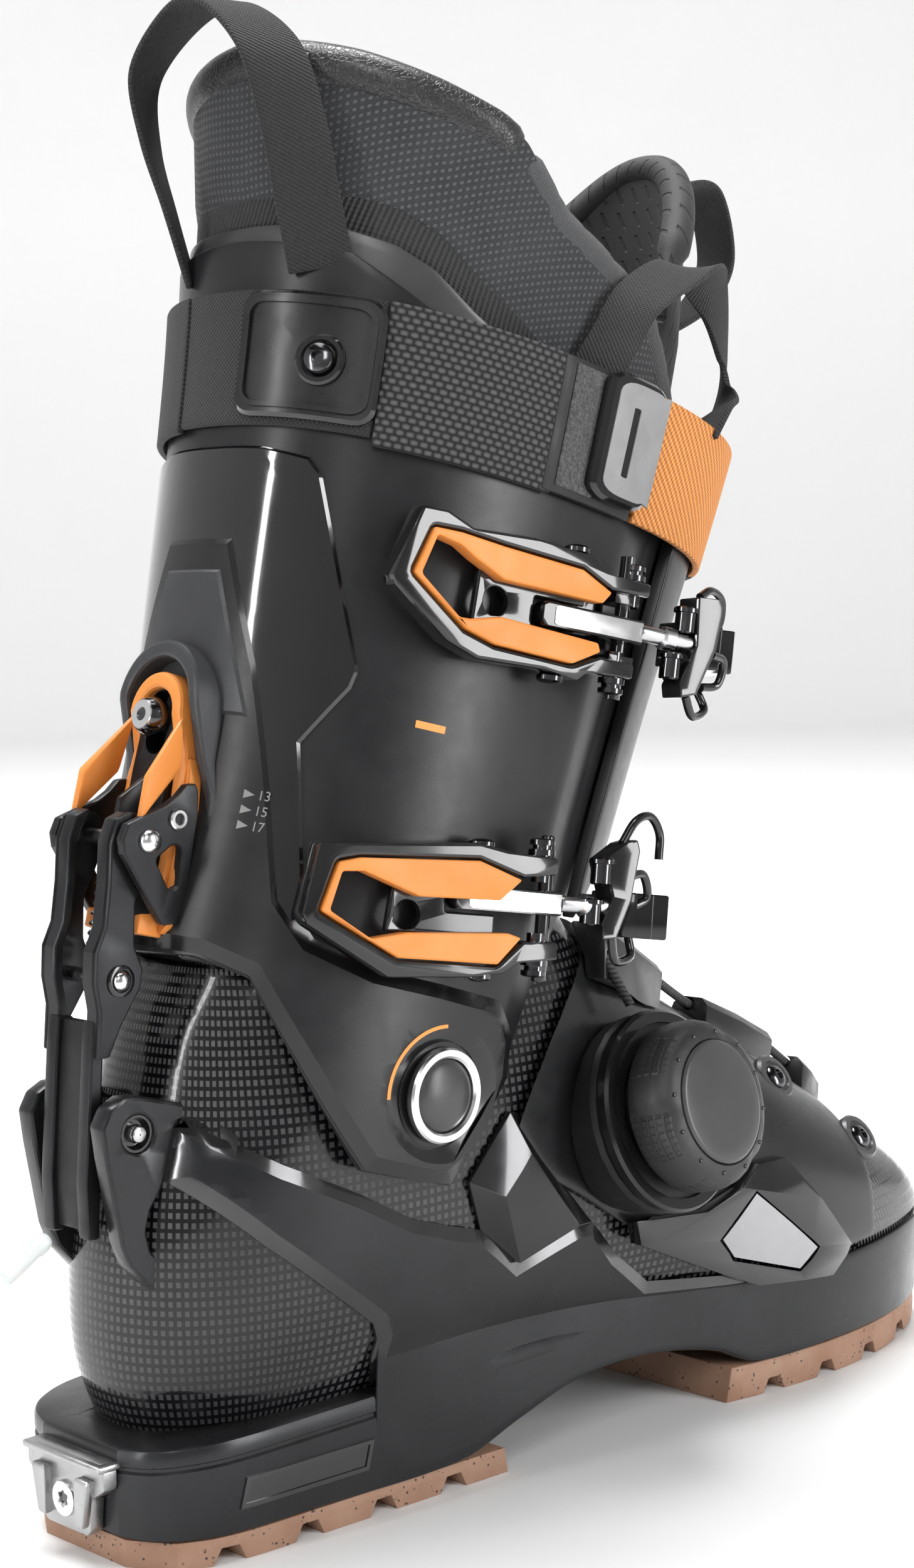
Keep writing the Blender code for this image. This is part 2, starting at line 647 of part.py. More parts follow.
def make_lock_carrier():
    """Orange carrier that slides on the spine, with the dark bracket it holds."""
    outer = [(-11.6, 26), (-9.4, 26), (-9.4, 61), (-7.4, 72)] + arc((0, 80), 7.4, 180, 0, 9)
    outer += [(7.4, 72), (9.4, 61), (9.4, 26), (11.6, 26), (11.6, 62), (9.6, 72)]
    outer += arc((0, 80), 9.6, 0, 180, 9) + [(-9.6, 72), (-11.6, 62)]
    carrier = part("lean_carrier", prism(outer, spine, -55, -67.0), ORANGE)
    cut(carrier, cuff_core("cut_cuff_carrier", 2.2))

    sides = [(-6.6, 72), (-8.8, 61), (-8.8, 36), (8.8, 36), (8.8, 61), (6.6, 72)]
    plate = arc((0, 79), 6.6, 0, 180, 9) + sides
    bracket = part("lock_bracket", prism(plate, spine, -55, -68.4), CHARCOAL)
    ear = [(29, 181), (25, 182.5), (19, 182), (9.5, 178), (8.5, 172), (11, 168), (19, 152), (24, 153),
           (27, 166)]
    for side in (-1, 1):
        join(bracket, helper(f"join_ear_{side}", prism(ear, side_view(), side * 12.0, side * 14.0)))
    web = [(-12.6, 55), (12.6, 55), (12.6, 63), (-12.6, 63)]
    join(bracket, helper("join_ear_web", prism(web, spine, -67.6, -70.6)))
    x, z = LEVER_PIN
    join(bracket, helper("join_lever_pin", rod((x, -15.2, z), (x, 15.2, z), 2.2)))
    slot = arc((0, 82), 3.0, 0, 180, 5) + arc((0, 76), 3.0, 180, 360, 5)
    cut(bracket, cuff_core("cut_cuff_lock", 2.2), helper("cut_bolt_slot", prism(slot, spine, -50, -72)))
    bolt = [(2.4, 0), (2.4, 4.6), (5.6, 4.6), (5.2, 7.4), (3.4, 8.6)]
    rearward = leg(-1, 0, 0) - leg(0, 0, 0)
    part("carrier_bolt", loft(turned(bolt, leg(-64.2, 0, 79), rearward)), DARK_STEEL)


def make_walk_lever():
    x, z = LEVER_PIN
    pivot = (x, 0, z)
    arm = [(13, 180), (8.5, 178), (6, 172), (5.5, 163), (4, 153), (1.2, 147), (0.8, 140), (1.8, 133),
           (0.5, 122), (3.6, 122), (7, 129), (13, 137), (14.5, 142), (12, 148), (12.5, 158), (16, 164),
           (20, 171), (18, 178)]
    lever = part("walk_lever", prism(arm, side_view(), 8.8, 11.4), CHARCOAL, pivot=pivot)
    join(lever, helper("join_lever_arm", prism(arm, side_view(), -11.4, -8.8)))
    tongue = [(2.0, 131), (0.5, 122), (-0.5, 108), (-1.5, 92), (-1.2, 79), (1.4, 78.4),
              (1.6, 92), (2.4, 108), (3.6, 122), (5.6, 130)]
    join(lever, helper("join_lever_tongue", prism(tongue, side_view(), -9.2, 9.2)))
    cut(lever, helper("cut_lever_bore", rod((x, -20, z), (x, 20, z), 2.5)))
    sx, sz = SPRING_LOW
    join(lever, helper("join_spring_pin", rod((sx, -12.2, sz), (sx, 12.2, sz), 2.0)))
    cut(lever, helper("cut_tongue_slot", prism([(-3.0, 82.0), (-3.0, 85.5), (3.0, 85.5), (3.0, 82.0)],
                                               lambda a, b, h: Vector((h, a, b)), -10, 10)))
    start, end = Vector((SPRING_TOP[0] + 1.5, 0, SPRING_TOP[1])), Vector((sx + 1.5, 0, sz + 3.6))
    axis = (end - start).normalized()
    first, second = across(axis)
    turns, steps, coil = 9, 8, 2.7
    path = []
    for k in range(turns * steps + 1):
        a = 2 * math.pi * k / steps
        path.append(start + (end - start) * k / (turns * steps)
                    + (first * math.cos(a) + second * math.sin(a)) * coil)
    part("lever_spring", sweep(path, 0.6, 5), STEEL)


def make_pull_tab():
    x, z = TAB_PIN
    start, end = Vector((x - 4.2, 0, z - 1.0)), Vector((x - 17, 0, z - 8.6))
    profile = [(1.6, 0), (2.4, 1.2), (2.4, 4), (2.1, 4.6), (2.1, 14), (1.4, 15)]
    part("pull_tab", loft(turned(profile, start, end - start, 10)), CLEAR_TAB, pivot=(x, 0, z))


# ------------------------------------------------------------------ buckles
def make_buckle(label, start, end):
    along, rise, out = frame_of(start, end, LEG_UP)
    start = start + along * 1.9 + out * 3.0

    def at(a, b, h):
        return start + along * a + rise * b + out * h

    small = label == "lower"
    pin_at, rivet_at = (66.0, 49.0) if small else (70.0, 52.0)
    tip = [(4, 16), (-1.5, -1), (1, -4), (16, -15.5), (25, -18)]
    if small:
        tip = [(1, 10.5), (-2.2, -7), (0.5, -10.5), (21, -21), (30, -21)]
    top_arm = [(pin_at + 4, 8.0), (pin_at + 4, 13.0), (rivet_at + 2, 15.5), (22, 14.2), (12, 17.0)]
    low_arm = [(rivet_at - 4, -19.5), (rivet_at + 4, -19.5), (pin_at + 2, -17), (pin_at + 4, -13)]
    if small:
        top_arm[3:] = [(30, 13.5), (12, 11.0)]
    inner = [(rivet_at + 5, -12.5), (rivet_at - 8, -14.0), (27, -13.0 if not small else -16.5),
             (5, 0 if not small else -7), (9, 11.5 if not small else 6), (rivet_at - 8, 9.5)]
    lever = part(f"{label}_buckle_lever",
                 prism(tip + low_arm + inner + top_arm, at, -2.6, 2.6), BLACK_GLOSS,
                 pivot=at(pin_at, 0, -1.0))
    for role, position in (("pin", pin_at), ("rivet", rivet_at)):
        cut(lever, helper(f"cut_{label}_{role}", rod(at(position, -26, -1), at(position, 26, -1), 2.2, 12)))
    part(f"{label}_buckle_rivet", rod(at(rivet_at, -21.5, -1), at(rivet_at, 17.5, -1), 1.9, 12), DARK_STEEL)

    shift = -4.0 if small else 0.0
    insert = [(10.6, 9.6 + shift), (6.8, 0.7 + shift * 1.4), (21, -8.8 + shift * 0.8), (38, -11.4),
              (38, 8.0), (22, 8.0 + shift * 0.2)]
    orange = part(f"{label}_buckle_insert", prism(insert, at, -1.8, 3.2), ORANGE)
    hole = [(12.0, 7.8 + shift), (9.2, 0.9 + shift * 1.4), (15.5, -4.0 + shift), (17.5, 6.6 + shift * 0.6)]
    cut(orange, helper(f"cut_{label}_finger", prism(hole, at, -4, 5)))

    body = [(rivet_at - 6.5, -5.4), (pin_at + 5, -5.4), (pin_at + 5, 1.6), (rivet_at - 6.5, 1.6)]
    block = part(f"{label}_buckle_adjuster", prism(body, at, -3.0, 3.0), STEEL,
                 pivot=at(rivet_at, 0, -1.0))
    cut(block, helper(f"cut_{label}_adjuster", rod(at(rivet_at, -26, -1), at(rivet_at, 26, -1), 2.2)))
    cut(block, helper(f"cut_{label}_adjuster_pin",
                      prism([(pin_at - 3.5, -8), (pin_at + 8, -8), (pin_at + 8, 5), (pin_at - 3.5, 5)],
                            at, -6, 1.6)))
    reach = pin_at + 19
    hook_box = [(reach - 5, -6.5), (reach, -6.5), (reach, 2.8), (reach - 5, 2.8)]
    hook = part(f"{label}_buckle_hook", prism(hook_box, at, 0.2, 4.4), DARK_STEEL)
    threaded = rod(at(pin_at + 5.4, -1.9, 2.3), at(reach - 4, -1.9, 2.3), 2.0, 12)
    join(hook, helper(f"join_{label}_rod", threaded))
    wire = [at(reach - 2.5, -13.5, 2.3)]
    corners = [at(reach + 9, -13.5, 2.0), at(reach + 10.5, -11.5, 2.0),
               at(reach + 10.5, 8.0, 2.0), at(reach + 9, 10.0, 2.0)]
    wire += corners + [at(reach - 2.5, 10.0, 2.3)]
    cut(hook, helper(f"cut_{label}_hook", rod(at(reach - 2.5, -15, 2.3), at(reach - 2.5, 15, 2.3), 1.5, 12)))
    closed = wire + [wire[0]]
    bail_rings = sweep_loop(closed[:-1], 1.1, 6)
    part(f"{label}_buckle_bail", bail_rings, DARK_STEEL, pivot=at(reach - 2.5, 0, 2.3))

    ears = []
    for b_low, b_high in ((-12.0, -9.0), (4.2, 7.2)):
        ears.append(prism([(pin_at - 4, -14), (pin_at + 3.5, -14), (pin_at + 3.5, 1.2), (pin_at - 4, 1.2)],
                          lambda a, h, b: at(a, b, h), b_low, b_high))
    base = part(f"{label}_buckle_base", prism(
        [(pin_at - 14, -12), (pin_at + 3, -12), (pin_at + 3, 7.2), (pin_at - 14, 7.2)],
        at, -14, -6.5), DARK_STEEL)
    for k, shape in enumerate(ears):
        join(base, helper(f"join_{label}_ear_{k}", shape))
    cut(base, cuff_core(f"cut_cuff_{label}_base", 0.4))
    join(base, helper(f"join_{label}_base_pin", rod(at(pin_at, -20, -1), at(pin_at, 16.5, -1), 1.9, 12)))

    teeth = [(reach + 3, -14), (reach + 3, -1.2), (reach + 7, 2.2), (reach + 8.4, -2.6), (reach + 13, 0.6),
             (reach + 14.5, -4), (reach + 19, -1.5), (reach + 20, -14)]
    rack = part(f"{label}_buckle_rack", prism(teeth, lambda a, h, b: at(a, b, h), -7.5, 4.0), DARK_STEEL)
    cut(rack, cuff_core(f"cut_cuff_{label}_rack", 0.4))
    clearance = helper(f"cut_{label}_bail_space", sweep_loop(closed[:-1], 1.7, 8))
    cut(rack, clearance)


def sweep_loop(corners, radius, sides):
    """Round wire bent into a closed loop through its corners."""
    rings = []
    count = len(corners)
    normal = (corners[1] - corners[0]).cross(corners[3] - corners[1]).normalized()
    for k, point in enumerate(corners):
        before = (point - corners[k - 1]).normalized()
        after = (corners[(k + 1) % count] - point).normalized()
        ahead = (before + after).normalized()
        side = ahead.cross(normal).normalized()
        stretch = 1 / max(0.5, ahead.dot(after))
        rings.append([point + (side * math.cos(2 * math.pi * i / sides) * stretch
                      + normal * math.sin(2 * math.pi * i / sides)) * radius
                      for i in range(sides)])
    verts = [p for ring in rings for p in ring]
    faces = []
    for r in range(count):
        q = (r + 1) % count
        for k in range(sides):
            n = (k + 1) % sides
            faces.append((r * sides + k, r * sides + n, q * sides + n, q * sides + k))
    return verts, faces


# ------------------------------------------------------------------ lacing
def make_lacing():
    half = [Vector(p) for p in LACE_HALF]
    mirrored = [Vector((p.x, -p.y, p.z)) for p in half[::-1][:-2]]
    path = smooth_path(half + mirrored, 3)
    part("lace", sweep(path, 1.3, 6), WEBBING)
    channel = helper("cut_lace", sweep(path, 2.0, 8))
    shell = shell_core("cut_shell_guides", FLAP_OUT + 0.9)
    section = [(-8, -12), (8, -12), (6, 1), (3.6, 3.2), (-3.6, 3.2), (-6, 1)]
    for name, line in GUIDES.items():
        points = [Vector(p) for p in line]
        rings = []
        for k, point in enumerate(points):
            along = points[min(k + 1, len(points) - 1)] - points[max(k - 1, 0)]
            sideways = along.cross(Vector((0, 0, 1))).normalized()
            normal = sideways.cross(along).normalized()
            rings.append([point + sideways * a + normal * b for a, b in section])
        cut(part(name, loft(rings), GREY), shell, channel)


def make_dial():
    base, axis = DIAL_BASE, DIAL_AXIS
    outer = turned([(25, -9), (27, 3), (26.4, 4.6), (24, 5.2), (23.6, 8.0)], base, axis, 24)
    inner = turned([(18, 0.5), (18, 3), (18, 4.6), (18, 5.2), (19, 8.0)], base, axis, 24)
    cup = part("dial_base", pot(outer, inner), BLACK_MATTE)
    cut(cup, shell_core("cut_shell_dial", FLAP_OUT + 1.2))
    cut(cup, helper("cut_dial_lace", rod((151, -48, 112), (151, -42, 124), 2.4)))
    spool = [(9, 1.2), (16.5, 1.2), (16.5, 2.4), (13, 3.0), (13, 5.4), (16.5, 6.0), (16.5, 7.4), (9, 7.4)]
    part("dial_spool", loft(turned(spool, base, axis, 20)), BLACK_MATTE, pivot=base)
    part("dial_shaft", loft(turned([(5.5, 7.9), (5.5, 9.4), (3.2, 9.8), (3.2, 21.5)], base, axis, 12)),
         DARK_STEEL, pivot=base)
    knob = [(3.6, 10.2), (19.5, 10.2), (22.3, 12.5), (22.5, 19.5), (20.5, 24.0), (16.8, 25.2),
            (16.4, 23.4), (3.6, 23.4)]
    part("dial_knob", turned_ring(knob, base, axis, 24), GREY, pivot=base)
    cap = [(16.0, 23.8), (16.0, 25.3), (14.5, 26.2), (6, 26.6)]
    part("dial_cap", loft(turned(cap, base, axis, 24)), GREY, pivot=base)


def turned_ring(profile, base, axis, sides):
    """Ring turned about an axis from a closed profile."""
    rings = turned(profile, base, axis, sides)
    half = len(rings) // 2
    return sleeve(rings[:half], rings[half:][::-1])


def make_dial_guard():
    outline = [(146, 62), (156, 61), (172, 60), (184, 64), (192, 70), (203, 70), (232, 40), (227, 31),
               (196, 34), (170, 45), (148, 55)]
    window = [(190, 63), (177, 51), (183, 44), (211, 35.5), (217, 42)]
    rings = []
    for off in (7.2, FLAP_OUT + GAP + 0.3):
        rings.append([[shell_point(a, q, off) for a in TURN] for q in range(1, LAST + 1)])
    guard = part("dial_guard", sleeve(rings[0], rings[1]), DARK_STEEL)
    combine(guard, 'INTERSECT', helper("trim_guard", prism(outline, side_view(), -35, -70)))
    cut(guard, helper("cut_guard_window", prism(window, side_view(), -30, -75)),
        helper("cut_guard_dial", rod(DIAL_BASE - DIAL_AXIS * 20, DIAL_BASE + DIAL_AXIS * 20, 28.0, 24)))


make_lower_shell()
make_boot_board()
make_instep_flap()
make_sole_base()
make_treads()
make_exo_frames()
make_heel_bracket()
make_tech_fittings()
make_liner_foot()
make_liner_collar()
make_liner_tongue()
make_pull_loops()
make_cuff_shell()
make_pivots()
make_power_strap()
make_cuff_panels()
make_spine_frame()
make_lock_carrier()
make_walk_lever()
make_pull_tab()
for buckle_name, (tip_point, pin_point) in BUCKLES.items():
    make_buckle(buckle_name, tip_point, pin_point)
make_lacing()
make_dial()
make_dial_guard()
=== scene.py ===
"""Looks of the alpine touring boot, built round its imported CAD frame.

Points are written in the maker's millimetres, as in the part: X forward from the back of the sole,
Y towards the inner side, Z up.  to_frame() turns them into the frame's metres.
"""
import json
import math

import bmesh
import bpy
from mathutils import Matrix, Vector
from mathutils.bvhtree import BVHTree

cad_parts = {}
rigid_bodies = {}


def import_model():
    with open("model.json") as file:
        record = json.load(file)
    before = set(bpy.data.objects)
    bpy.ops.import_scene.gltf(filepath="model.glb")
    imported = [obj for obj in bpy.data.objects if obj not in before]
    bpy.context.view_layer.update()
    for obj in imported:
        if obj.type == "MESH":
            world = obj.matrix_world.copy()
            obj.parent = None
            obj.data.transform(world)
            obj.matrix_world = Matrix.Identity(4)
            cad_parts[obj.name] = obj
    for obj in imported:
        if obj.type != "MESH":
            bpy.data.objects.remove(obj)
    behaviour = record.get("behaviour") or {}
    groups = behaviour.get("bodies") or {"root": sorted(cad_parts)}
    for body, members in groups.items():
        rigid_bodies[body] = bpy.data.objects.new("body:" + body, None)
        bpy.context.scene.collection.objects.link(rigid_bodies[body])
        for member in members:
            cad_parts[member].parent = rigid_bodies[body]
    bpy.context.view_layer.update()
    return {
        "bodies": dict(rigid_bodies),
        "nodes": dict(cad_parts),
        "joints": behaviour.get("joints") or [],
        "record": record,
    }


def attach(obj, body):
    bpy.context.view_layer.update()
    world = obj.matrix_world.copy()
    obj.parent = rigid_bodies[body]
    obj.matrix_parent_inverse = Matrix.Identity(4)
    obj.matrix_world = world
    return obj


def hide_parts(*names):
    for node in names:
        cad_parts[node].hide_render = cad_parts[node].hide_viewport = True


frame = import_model()
NODES = frame["nodes"]
BODY_OF = {node: body for body, nodes in frame["record"]["behaviour"]["bodies"].items() for node in nodes}

ORIGIN_X = 50.0
PIVOT_X, PIVOT_Z = 76.0, 107.0
LEAN = math.radians(15)
LEG_UP = Vector((math.sin(LEAN), 0.0, math.cos(LEAN)))
FLAP_OUT = 2.8
CUFF_WALL = 3.5
SHELL_WALL = 3.2
COLLAR_FLARE = 9.0
TONGUE_TOP = 272.0
DIAL_BASE = Vector((151.5, -50.5, 90.0))
DIAL_AXIS = Vector((0.071, -0.963, 0.257)).normalized()
CAMERA_PLACE = Vector((-0.39904, -0.49302, 0.23409))
CAMERA_ANGLES = (-44.3, 4.68, -1.08)    # azimuth, elevation and roll, in degrees
CAMERA_LENS = 57.99

# Cuff sections up the leg: height, rear reach, front reach, widest station, half width, exponent
CUFF = [
    (-35, -66, 60, 5, 48.5, 2.3),
    (0, -66, 66, 5, 49.5, 2.3),
    (30, -63, 70, 8, 50, 2.3),
    (70, -61, 74, 10, 52, 2.3),
    (110, -64, 80, 12, 54, 2.3),
    (150, -67, 88, 12, 56, 2.3),
    (180, -70, 93, 12, 58, 2.3),
    (215, -76, 98, 12, 60, 2.3),
]
# Lower shell sections, toe to collar: top x, z; bottom x, z; half width; exponents top, bottom
SHELL = [
    (301, 36, 301, 32, 4, 2.0, 2.0),
    (299.5, 43, 300, 27, 22, 2.2, 2.2),
    (294, 51, 296, 23.5, 34, 2.2, 2.2),
    (282, 61, 286, 19, 42, 2.2, 2.3),
    (262, 72, 268, 15, 48, 2.2, 2.4),
    (238, 86, 244, 13, 51.5, 2.2, 2.5),
    (212, 101, 215, 13, 52, 2.2, 2.5),
    (190, 114, 180, 15, 49, 2.2, 2.4),
    (172, 125, 145, 18, 46, 2.3, 2.2),
    (158, 138, 105, 18, 43.8, 2.4, 2.1),
    (150, 150, 60, 13, 43.4, 2.4, 2.1),
    (146, 158, 22, 16, 42.4, 2.4, 2.1),
    (143, 163, 8, 36, 41.5, 2.3, 2.2),
    (141, 166, 6, 62, 41, 2.3, 2.2),
    (140, 168, 9, 84, 40.5, 2.3, 2.2),
    (139, 170, 16, 105, 40, 2.3, 2.2),
    (138, 172, 22, 126, 40, 2.3, 2.2),
    (137, 174, 29, 141, 40, 2.3, 2.2),
]
LAST = len(SHELL) - 1
SHELL_TABLE = [(k,) + row for k, row in enumerate(SHELL)]
# Edges of the cuff and liner: degrees from the front of the leg, height up the leg
CUFF_TOP = [(0, 183), (60, 185), (115, 186), (130, 187), (149, 197), (180, 199)]
CUFF_BOTTOM = [(0, 90), (28, 84), (46, 72), (62, 50), (75, 8), (87, -22), (107, -21), (128, 3),
               (144, 20), (160, 23), (180, 22)]
LINER_TOP = [(40, 172), (60, 186), (72, 200), (80, 209), (94, 217), (104, 222), (115, 235), (121, 238),
             (135, 241), (153, 244), (180, 247)]
LINER_BOTTOM = [(40, 96), (60, 94), (90, 84), (130, 62), (160, 50), (180, 48)]
# Sole block: x, half width, underside, top of the ledge
SOLE = [
    (0, 15, 7, 29), (3, 23, 7, 29.5), (9, 29, 7, 30), (20, 33.5, 7, 30.5), (45, 35.5, 7, 31),
    (92, 38, 7, 32), (112, 39, 13, 33), (135, 40, 19, 33), (160, 42, 20, 32), (185, 45, 16, 30),
    (200, 48, 10, 28), (230, 51, 10, 27), (258, 49, 10, 26), (280, 43, 10, 26), (292, 37, 11, 26),
    (298, 31, 12, 26), (302, 21, 13, 26),
]


# ------------------------------------------------------------------ surfaces
def curve(table, column, x):
    """Smooth curve through one column of a table, flat beyond its ends."""
    xs = [row[0] for row in table]
    ys = [row[column] for row in table]
    if x <= xs[0]:
        return ys[0]
    if x >= xs[-1]:
        return ys[-1]
    i = max(k for k in range(len(xs) - 1) if xs[k] <= x)

    def slope(k):
        low, high = max(k - 1, 0), min(k + 1, len(xs) - 1)
        return (ys[high] - ys[low]) / (xs[high] - xs[low])

    span = xs[i + 1] - xs[i]
    t = (x - xs[i]) / span
    start, end = slope(i) * span, slope(i + 1) * span
    return ((2 * t**3 - 3 * t**2 + 1) * ys[i] + (t**3 - 2 * t**2 + t) * start
            + (3 * t**2 - 2 * t**3) * ys[i + 1] + (t**3 - t**2) * end)


def edge(table, degrees):
    """Height of an edge, read by straight lines, the same on both sides of the boot."""
    angle = abs((degrees + 180) % 360 - 180)
    for (a, low), (b, high) in zip(table, table[1:]):
        if angle <= b:
            return low + (high - low) * max(0.0, angle - a) / (b - a)
    return table[-1][1]


def power(value, exponent):
    return math.copysign(abs(value) ** (2 / exponent), value)


def leg(u, y, s):
    """A point in the leg's frame: u forward, s up along the leg, from the ankle pivot."""
    return Vector((PIVOT_X + u * math.cos(LEAN) + s * math.sin(LEAN), y,
                   PIVOT_Z - u * math.sin(LEAN) + s * math.cos(LEAN)))


def cuff_point(degrees, s, off=0.0):
    """Cuff surface: 0 degrees is the front, 90 the outer side, 180 the back."""
    rear, front, middle, wide, exponent = (curve(CUFF, k, s) for k in range(1, 6))
    c = power(math.cos(math.radians(degrees)), exponent)
    side = power(math.sin(math.radians(degrees)), exponent)
    reach = front - middle + off if c > 0 else middle - rear + off
    return leg(middle + reach * c, -(wide + off) * side, s)


def shell_ring(degrees, station, off=0.0):
    """Section of the lower shell: 0 degrees is the instep, 90 the outer side, 180 the sole or heel."""
    section = [curve(SHELL_TABLE, k, station) for k in range(1, 8)]
    top, bottom = Vector((section[0], 0, section[1])), Vector((section[2], 0, section[3]))
    middle, half = (top + bottom) / 2, (top - bottom) / 2
    ring = []
    for angle in map(math.radians, degrees):
        exponent = section[5] if math.cos(angle) > 0 else section[6]
        along = half.normalized() * (half.length + off) * power(math.cos(angle), exponent)
        ring.append(middle + along - Vector((0, (section[4] + off) * power(math.sin(angle), exponent), 0)))
    return ring


def spread(low, high, count):
    return [low + (high - low) * k / (count - 1) for k in range(count)]


def to_frame(p):
    """Maker's millimetres to the frame's metres."""
    return Vector(((p[0] - ORIGIN_X) / 1000, p[1] / 1000, p[2] / 1000))


# ------------------------------------------------------------------ meshes
def bake(obj):
    """Applies an object's modifiers to its mesh."""
    depsgraph = bpy.context.evaluated_depsgraph_get()
    depsgraph.update()
    mesh = bpy.data.meshes.new_from_object(obj.evaluated_get(depsgraph))
    obj.modifiers.clear()
    obj.data = mesh
    return obj


def add_object(name, mesh):
    obj = bpy.data.objects.new(name, mesh)
    bpy.context.scene.collection.objects.link(obj)
    return obj


def finish_piece(obj, body, materials, nodes=(), sharp=35):
    """Gives a piece its materials, shading and body, and hides the nodes that it stands for."""
    obj.data.materials.clear()
    for material in materials:
        obj.data.materials.append(material)
    obj.data.shade_smooth()
    obj.data.set_sharp_from_angle(angle=math.radians(sharp))
    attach(obj, body)
    if nodes:
        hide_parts(*nodes)
    return obj


def mesh_of(name, verts, faces, uvs=None, layer="pattern"):
    mesh = bpy.data.meshes.new(name)
    mesh.from_pydata([to_frame(v) for v in verts], [], faces)
    if uvs:
        uv_layer = mesh.uv_layers.new(name=layer)
        for loop in mesh.loops:
            uv_layer.data[loop.index].uv = uvs[loop.vertex_index]
    return mesh


def tidy_normals(mesh):
    bm = bmesh.new()
    bm.from_mesh(mesh)
    bmesh.ops.recalc_face_normals(bm, faces=bm.faces)
    bm.to_mesh(mesh)
    bm.free()


def grid_faces(rows, columns, wrap=False):
    faces = []
    for r in range(rows - 1):
        for c in range(columns if wrap else columns - 1):
            n = (c + 1) % columns
            faces.append((r * columns + c, r * columns + n, (r + 1) * columns + n, (r + 1) * columns + c))
    return faces


def grid_map(points):
    """Pattern map of a grid, in millimetres along and across it."""
    middle = points[len(points) // 2]
    along = [0.0]
    for a, b in zip(middle, middle[1:]):
        along.append(along[-1] + (b - a).length)
    climbed = [0.0] * len(middle)
    uvs = []
    for r, line in enumerate(points):
        for c, point in enumerate(line):
            if r:
                climbed[c] += (point - points[r - 1][c]).length
            uvs.append((along[c], climbed[c]))
    return uvs


def slab_sheet(name, high, low, round_off=0.4, segments=2, uvs=None):
    """Closed sheet between an outer and an inner grid, with its edges rounded off."""
    rows, columns = len(high), len(high[0])
    count = rows * columns
    verts = [p for line in high for p in line] + [p for line in low for p in line]
    outer = grid_faces(rows, columns)
    faces = outer + [tuple(count + k for k in reversed(face)) for face in outer]
    rim = list(range(columns)) + [r * columns + columns - 1 for r in range(1, rows)]
    rim += [(rows - 1) * columns + c for c in range(columns - 2, -1, -1)]
    rim += [r * columns for r in range(rows - 2, 0, -1)]
    for a, b in zip(rim, rim[1:] + rim[:1]):
        faces.append((b, a, count + a, count + b))
    uvs = uvs or grid_map(high)
    mesh = mesh_of(name, verts, faces, uvs + uvs)
    tidy_normals(mesh)
    obj = add_object(name, mesh)
    if round_off:
        bevel_edges(obj, round_off, segments)
        bake(obj)
    return obj


def boolean(obj, tool, operation='DIFFERENCE'):
    """Cuts or joins obj with a helper mesh, which is then removed."""
    modifier = obj.modifiers.new("boolean", 'BOOLEAN')
    modifier.operation = operation
    modifier.solver = 'EXACT'
    modifier.object = tool
    bake(obj)
    bpy.data.objects.remove(tool, do_unlink=True)
    return obj


def helper(name, shape):
    verts, faces = shape
    mesh = mesh_of(name, verts, faces)
    tidy_normals(mesh)
    return add_object(name, mesh)


def bevel_edges(obj, width, segments=2, angle=40):
    bevel = obj.modifiers.new("bevel", 'BEVEL')
    bevel.width = width / 1000
    bevel.segments = segments
    bevel.limit_method = 'ANGLE'
    bevel.angle_limit = math.radians(angle)
    bevel.use_clamp_overlap = True
    bevel.miter_outer = 'MITER_ARC'
    return bevel


def merged_copy(node):
    """Copy of a CAD node's mesh with its flat faces whole again."""
    mesh = NODES[node].data.copy()
    bm = bmesh.new()
    bm.from_mesh(mesh)
    bmesh.ops.remove_doubles(bm, verts=bm.verts, dist=5e-6)
    bmesh.ops.dissolve_limit(bm, angle_limit=math.radians(0.6), verts=bm.verts, edges=bm.edges)
    bm.to_mesh(mesh)
    bm.free()
    return mesh


def rounded_node(node, material, width=0.35, segments=2, angle=30):
    """Stands for a CAD node of the right shape, with its edges broken."""
    obj = add_object(node + "_finished", merged_copy(node))
    bevel_edges(obj, width, segments, angle)
    bake(obj)
    return finish_piece(obj, BODY_OF[node], [material], [node])


def loft(rings, closed_ends=True):
    count = len(rings[0])
    verts = [p for ring in rings for p in ring]
    faces = grid_faces(len(rings), count, wrap=True)
    if closed_ends:
        faces.append(tuple(range(count)))
        faces.append(tuple(range(len(verts) - 1, len(verts) - count - 1, -1)))
    return verts, faces


def across(axis):
    """Two directions square to an axis."""
    axis = Vector(axis).normalized()
    guide = Vector((0, 0, 1)) if abs(axis.z) < 0.8 else Vector((1, 0, 0))
    first = axis.cross(guide).normalized()
    return first, axis.cross(first)


def turned(profile, base, axis, sides=48, bump=None):
    """Rings of a body turned about an axis; bump(angle, k) adds to the radius of profile point k."""
    axis = Vector(axis).normalized()
    first, second = across(axis)
    rings = []
    for k, (radius, height) in enumerate(profile):
        ring = []
        for i in range(sides):
            a = 2 * math.pi * i / sides
            r = radius + (bump(a, k) if bump else 0.0)
            ring.append(Vector(base) + axis * height + (first * math.cos(a) + second * math.sin(a)) * r)
        rings.append(ring)
    return rings


def piece(name, shape, body, material, nodes=(), round_off=0.0, segments=2, sharp=35):
    verts, faces = shape
    mesh = mesh_of(name, verts, faces)
    tidy_normals(mesh)
    obj = add_object(name, mesh)
    if round_off:
        bevel_edges(obj, round_off, segments, 30)
        bake(obj)
    return finish_piece(obj, body, [material], nodes, sharp)


def arc(centre, radius, start, end, count):
    return [(centre[0] + radius * math.cos(math.radians(a)),
             centre[1] + radius * math.sin(math.radians(a))) for a in spread(start, end, count)]


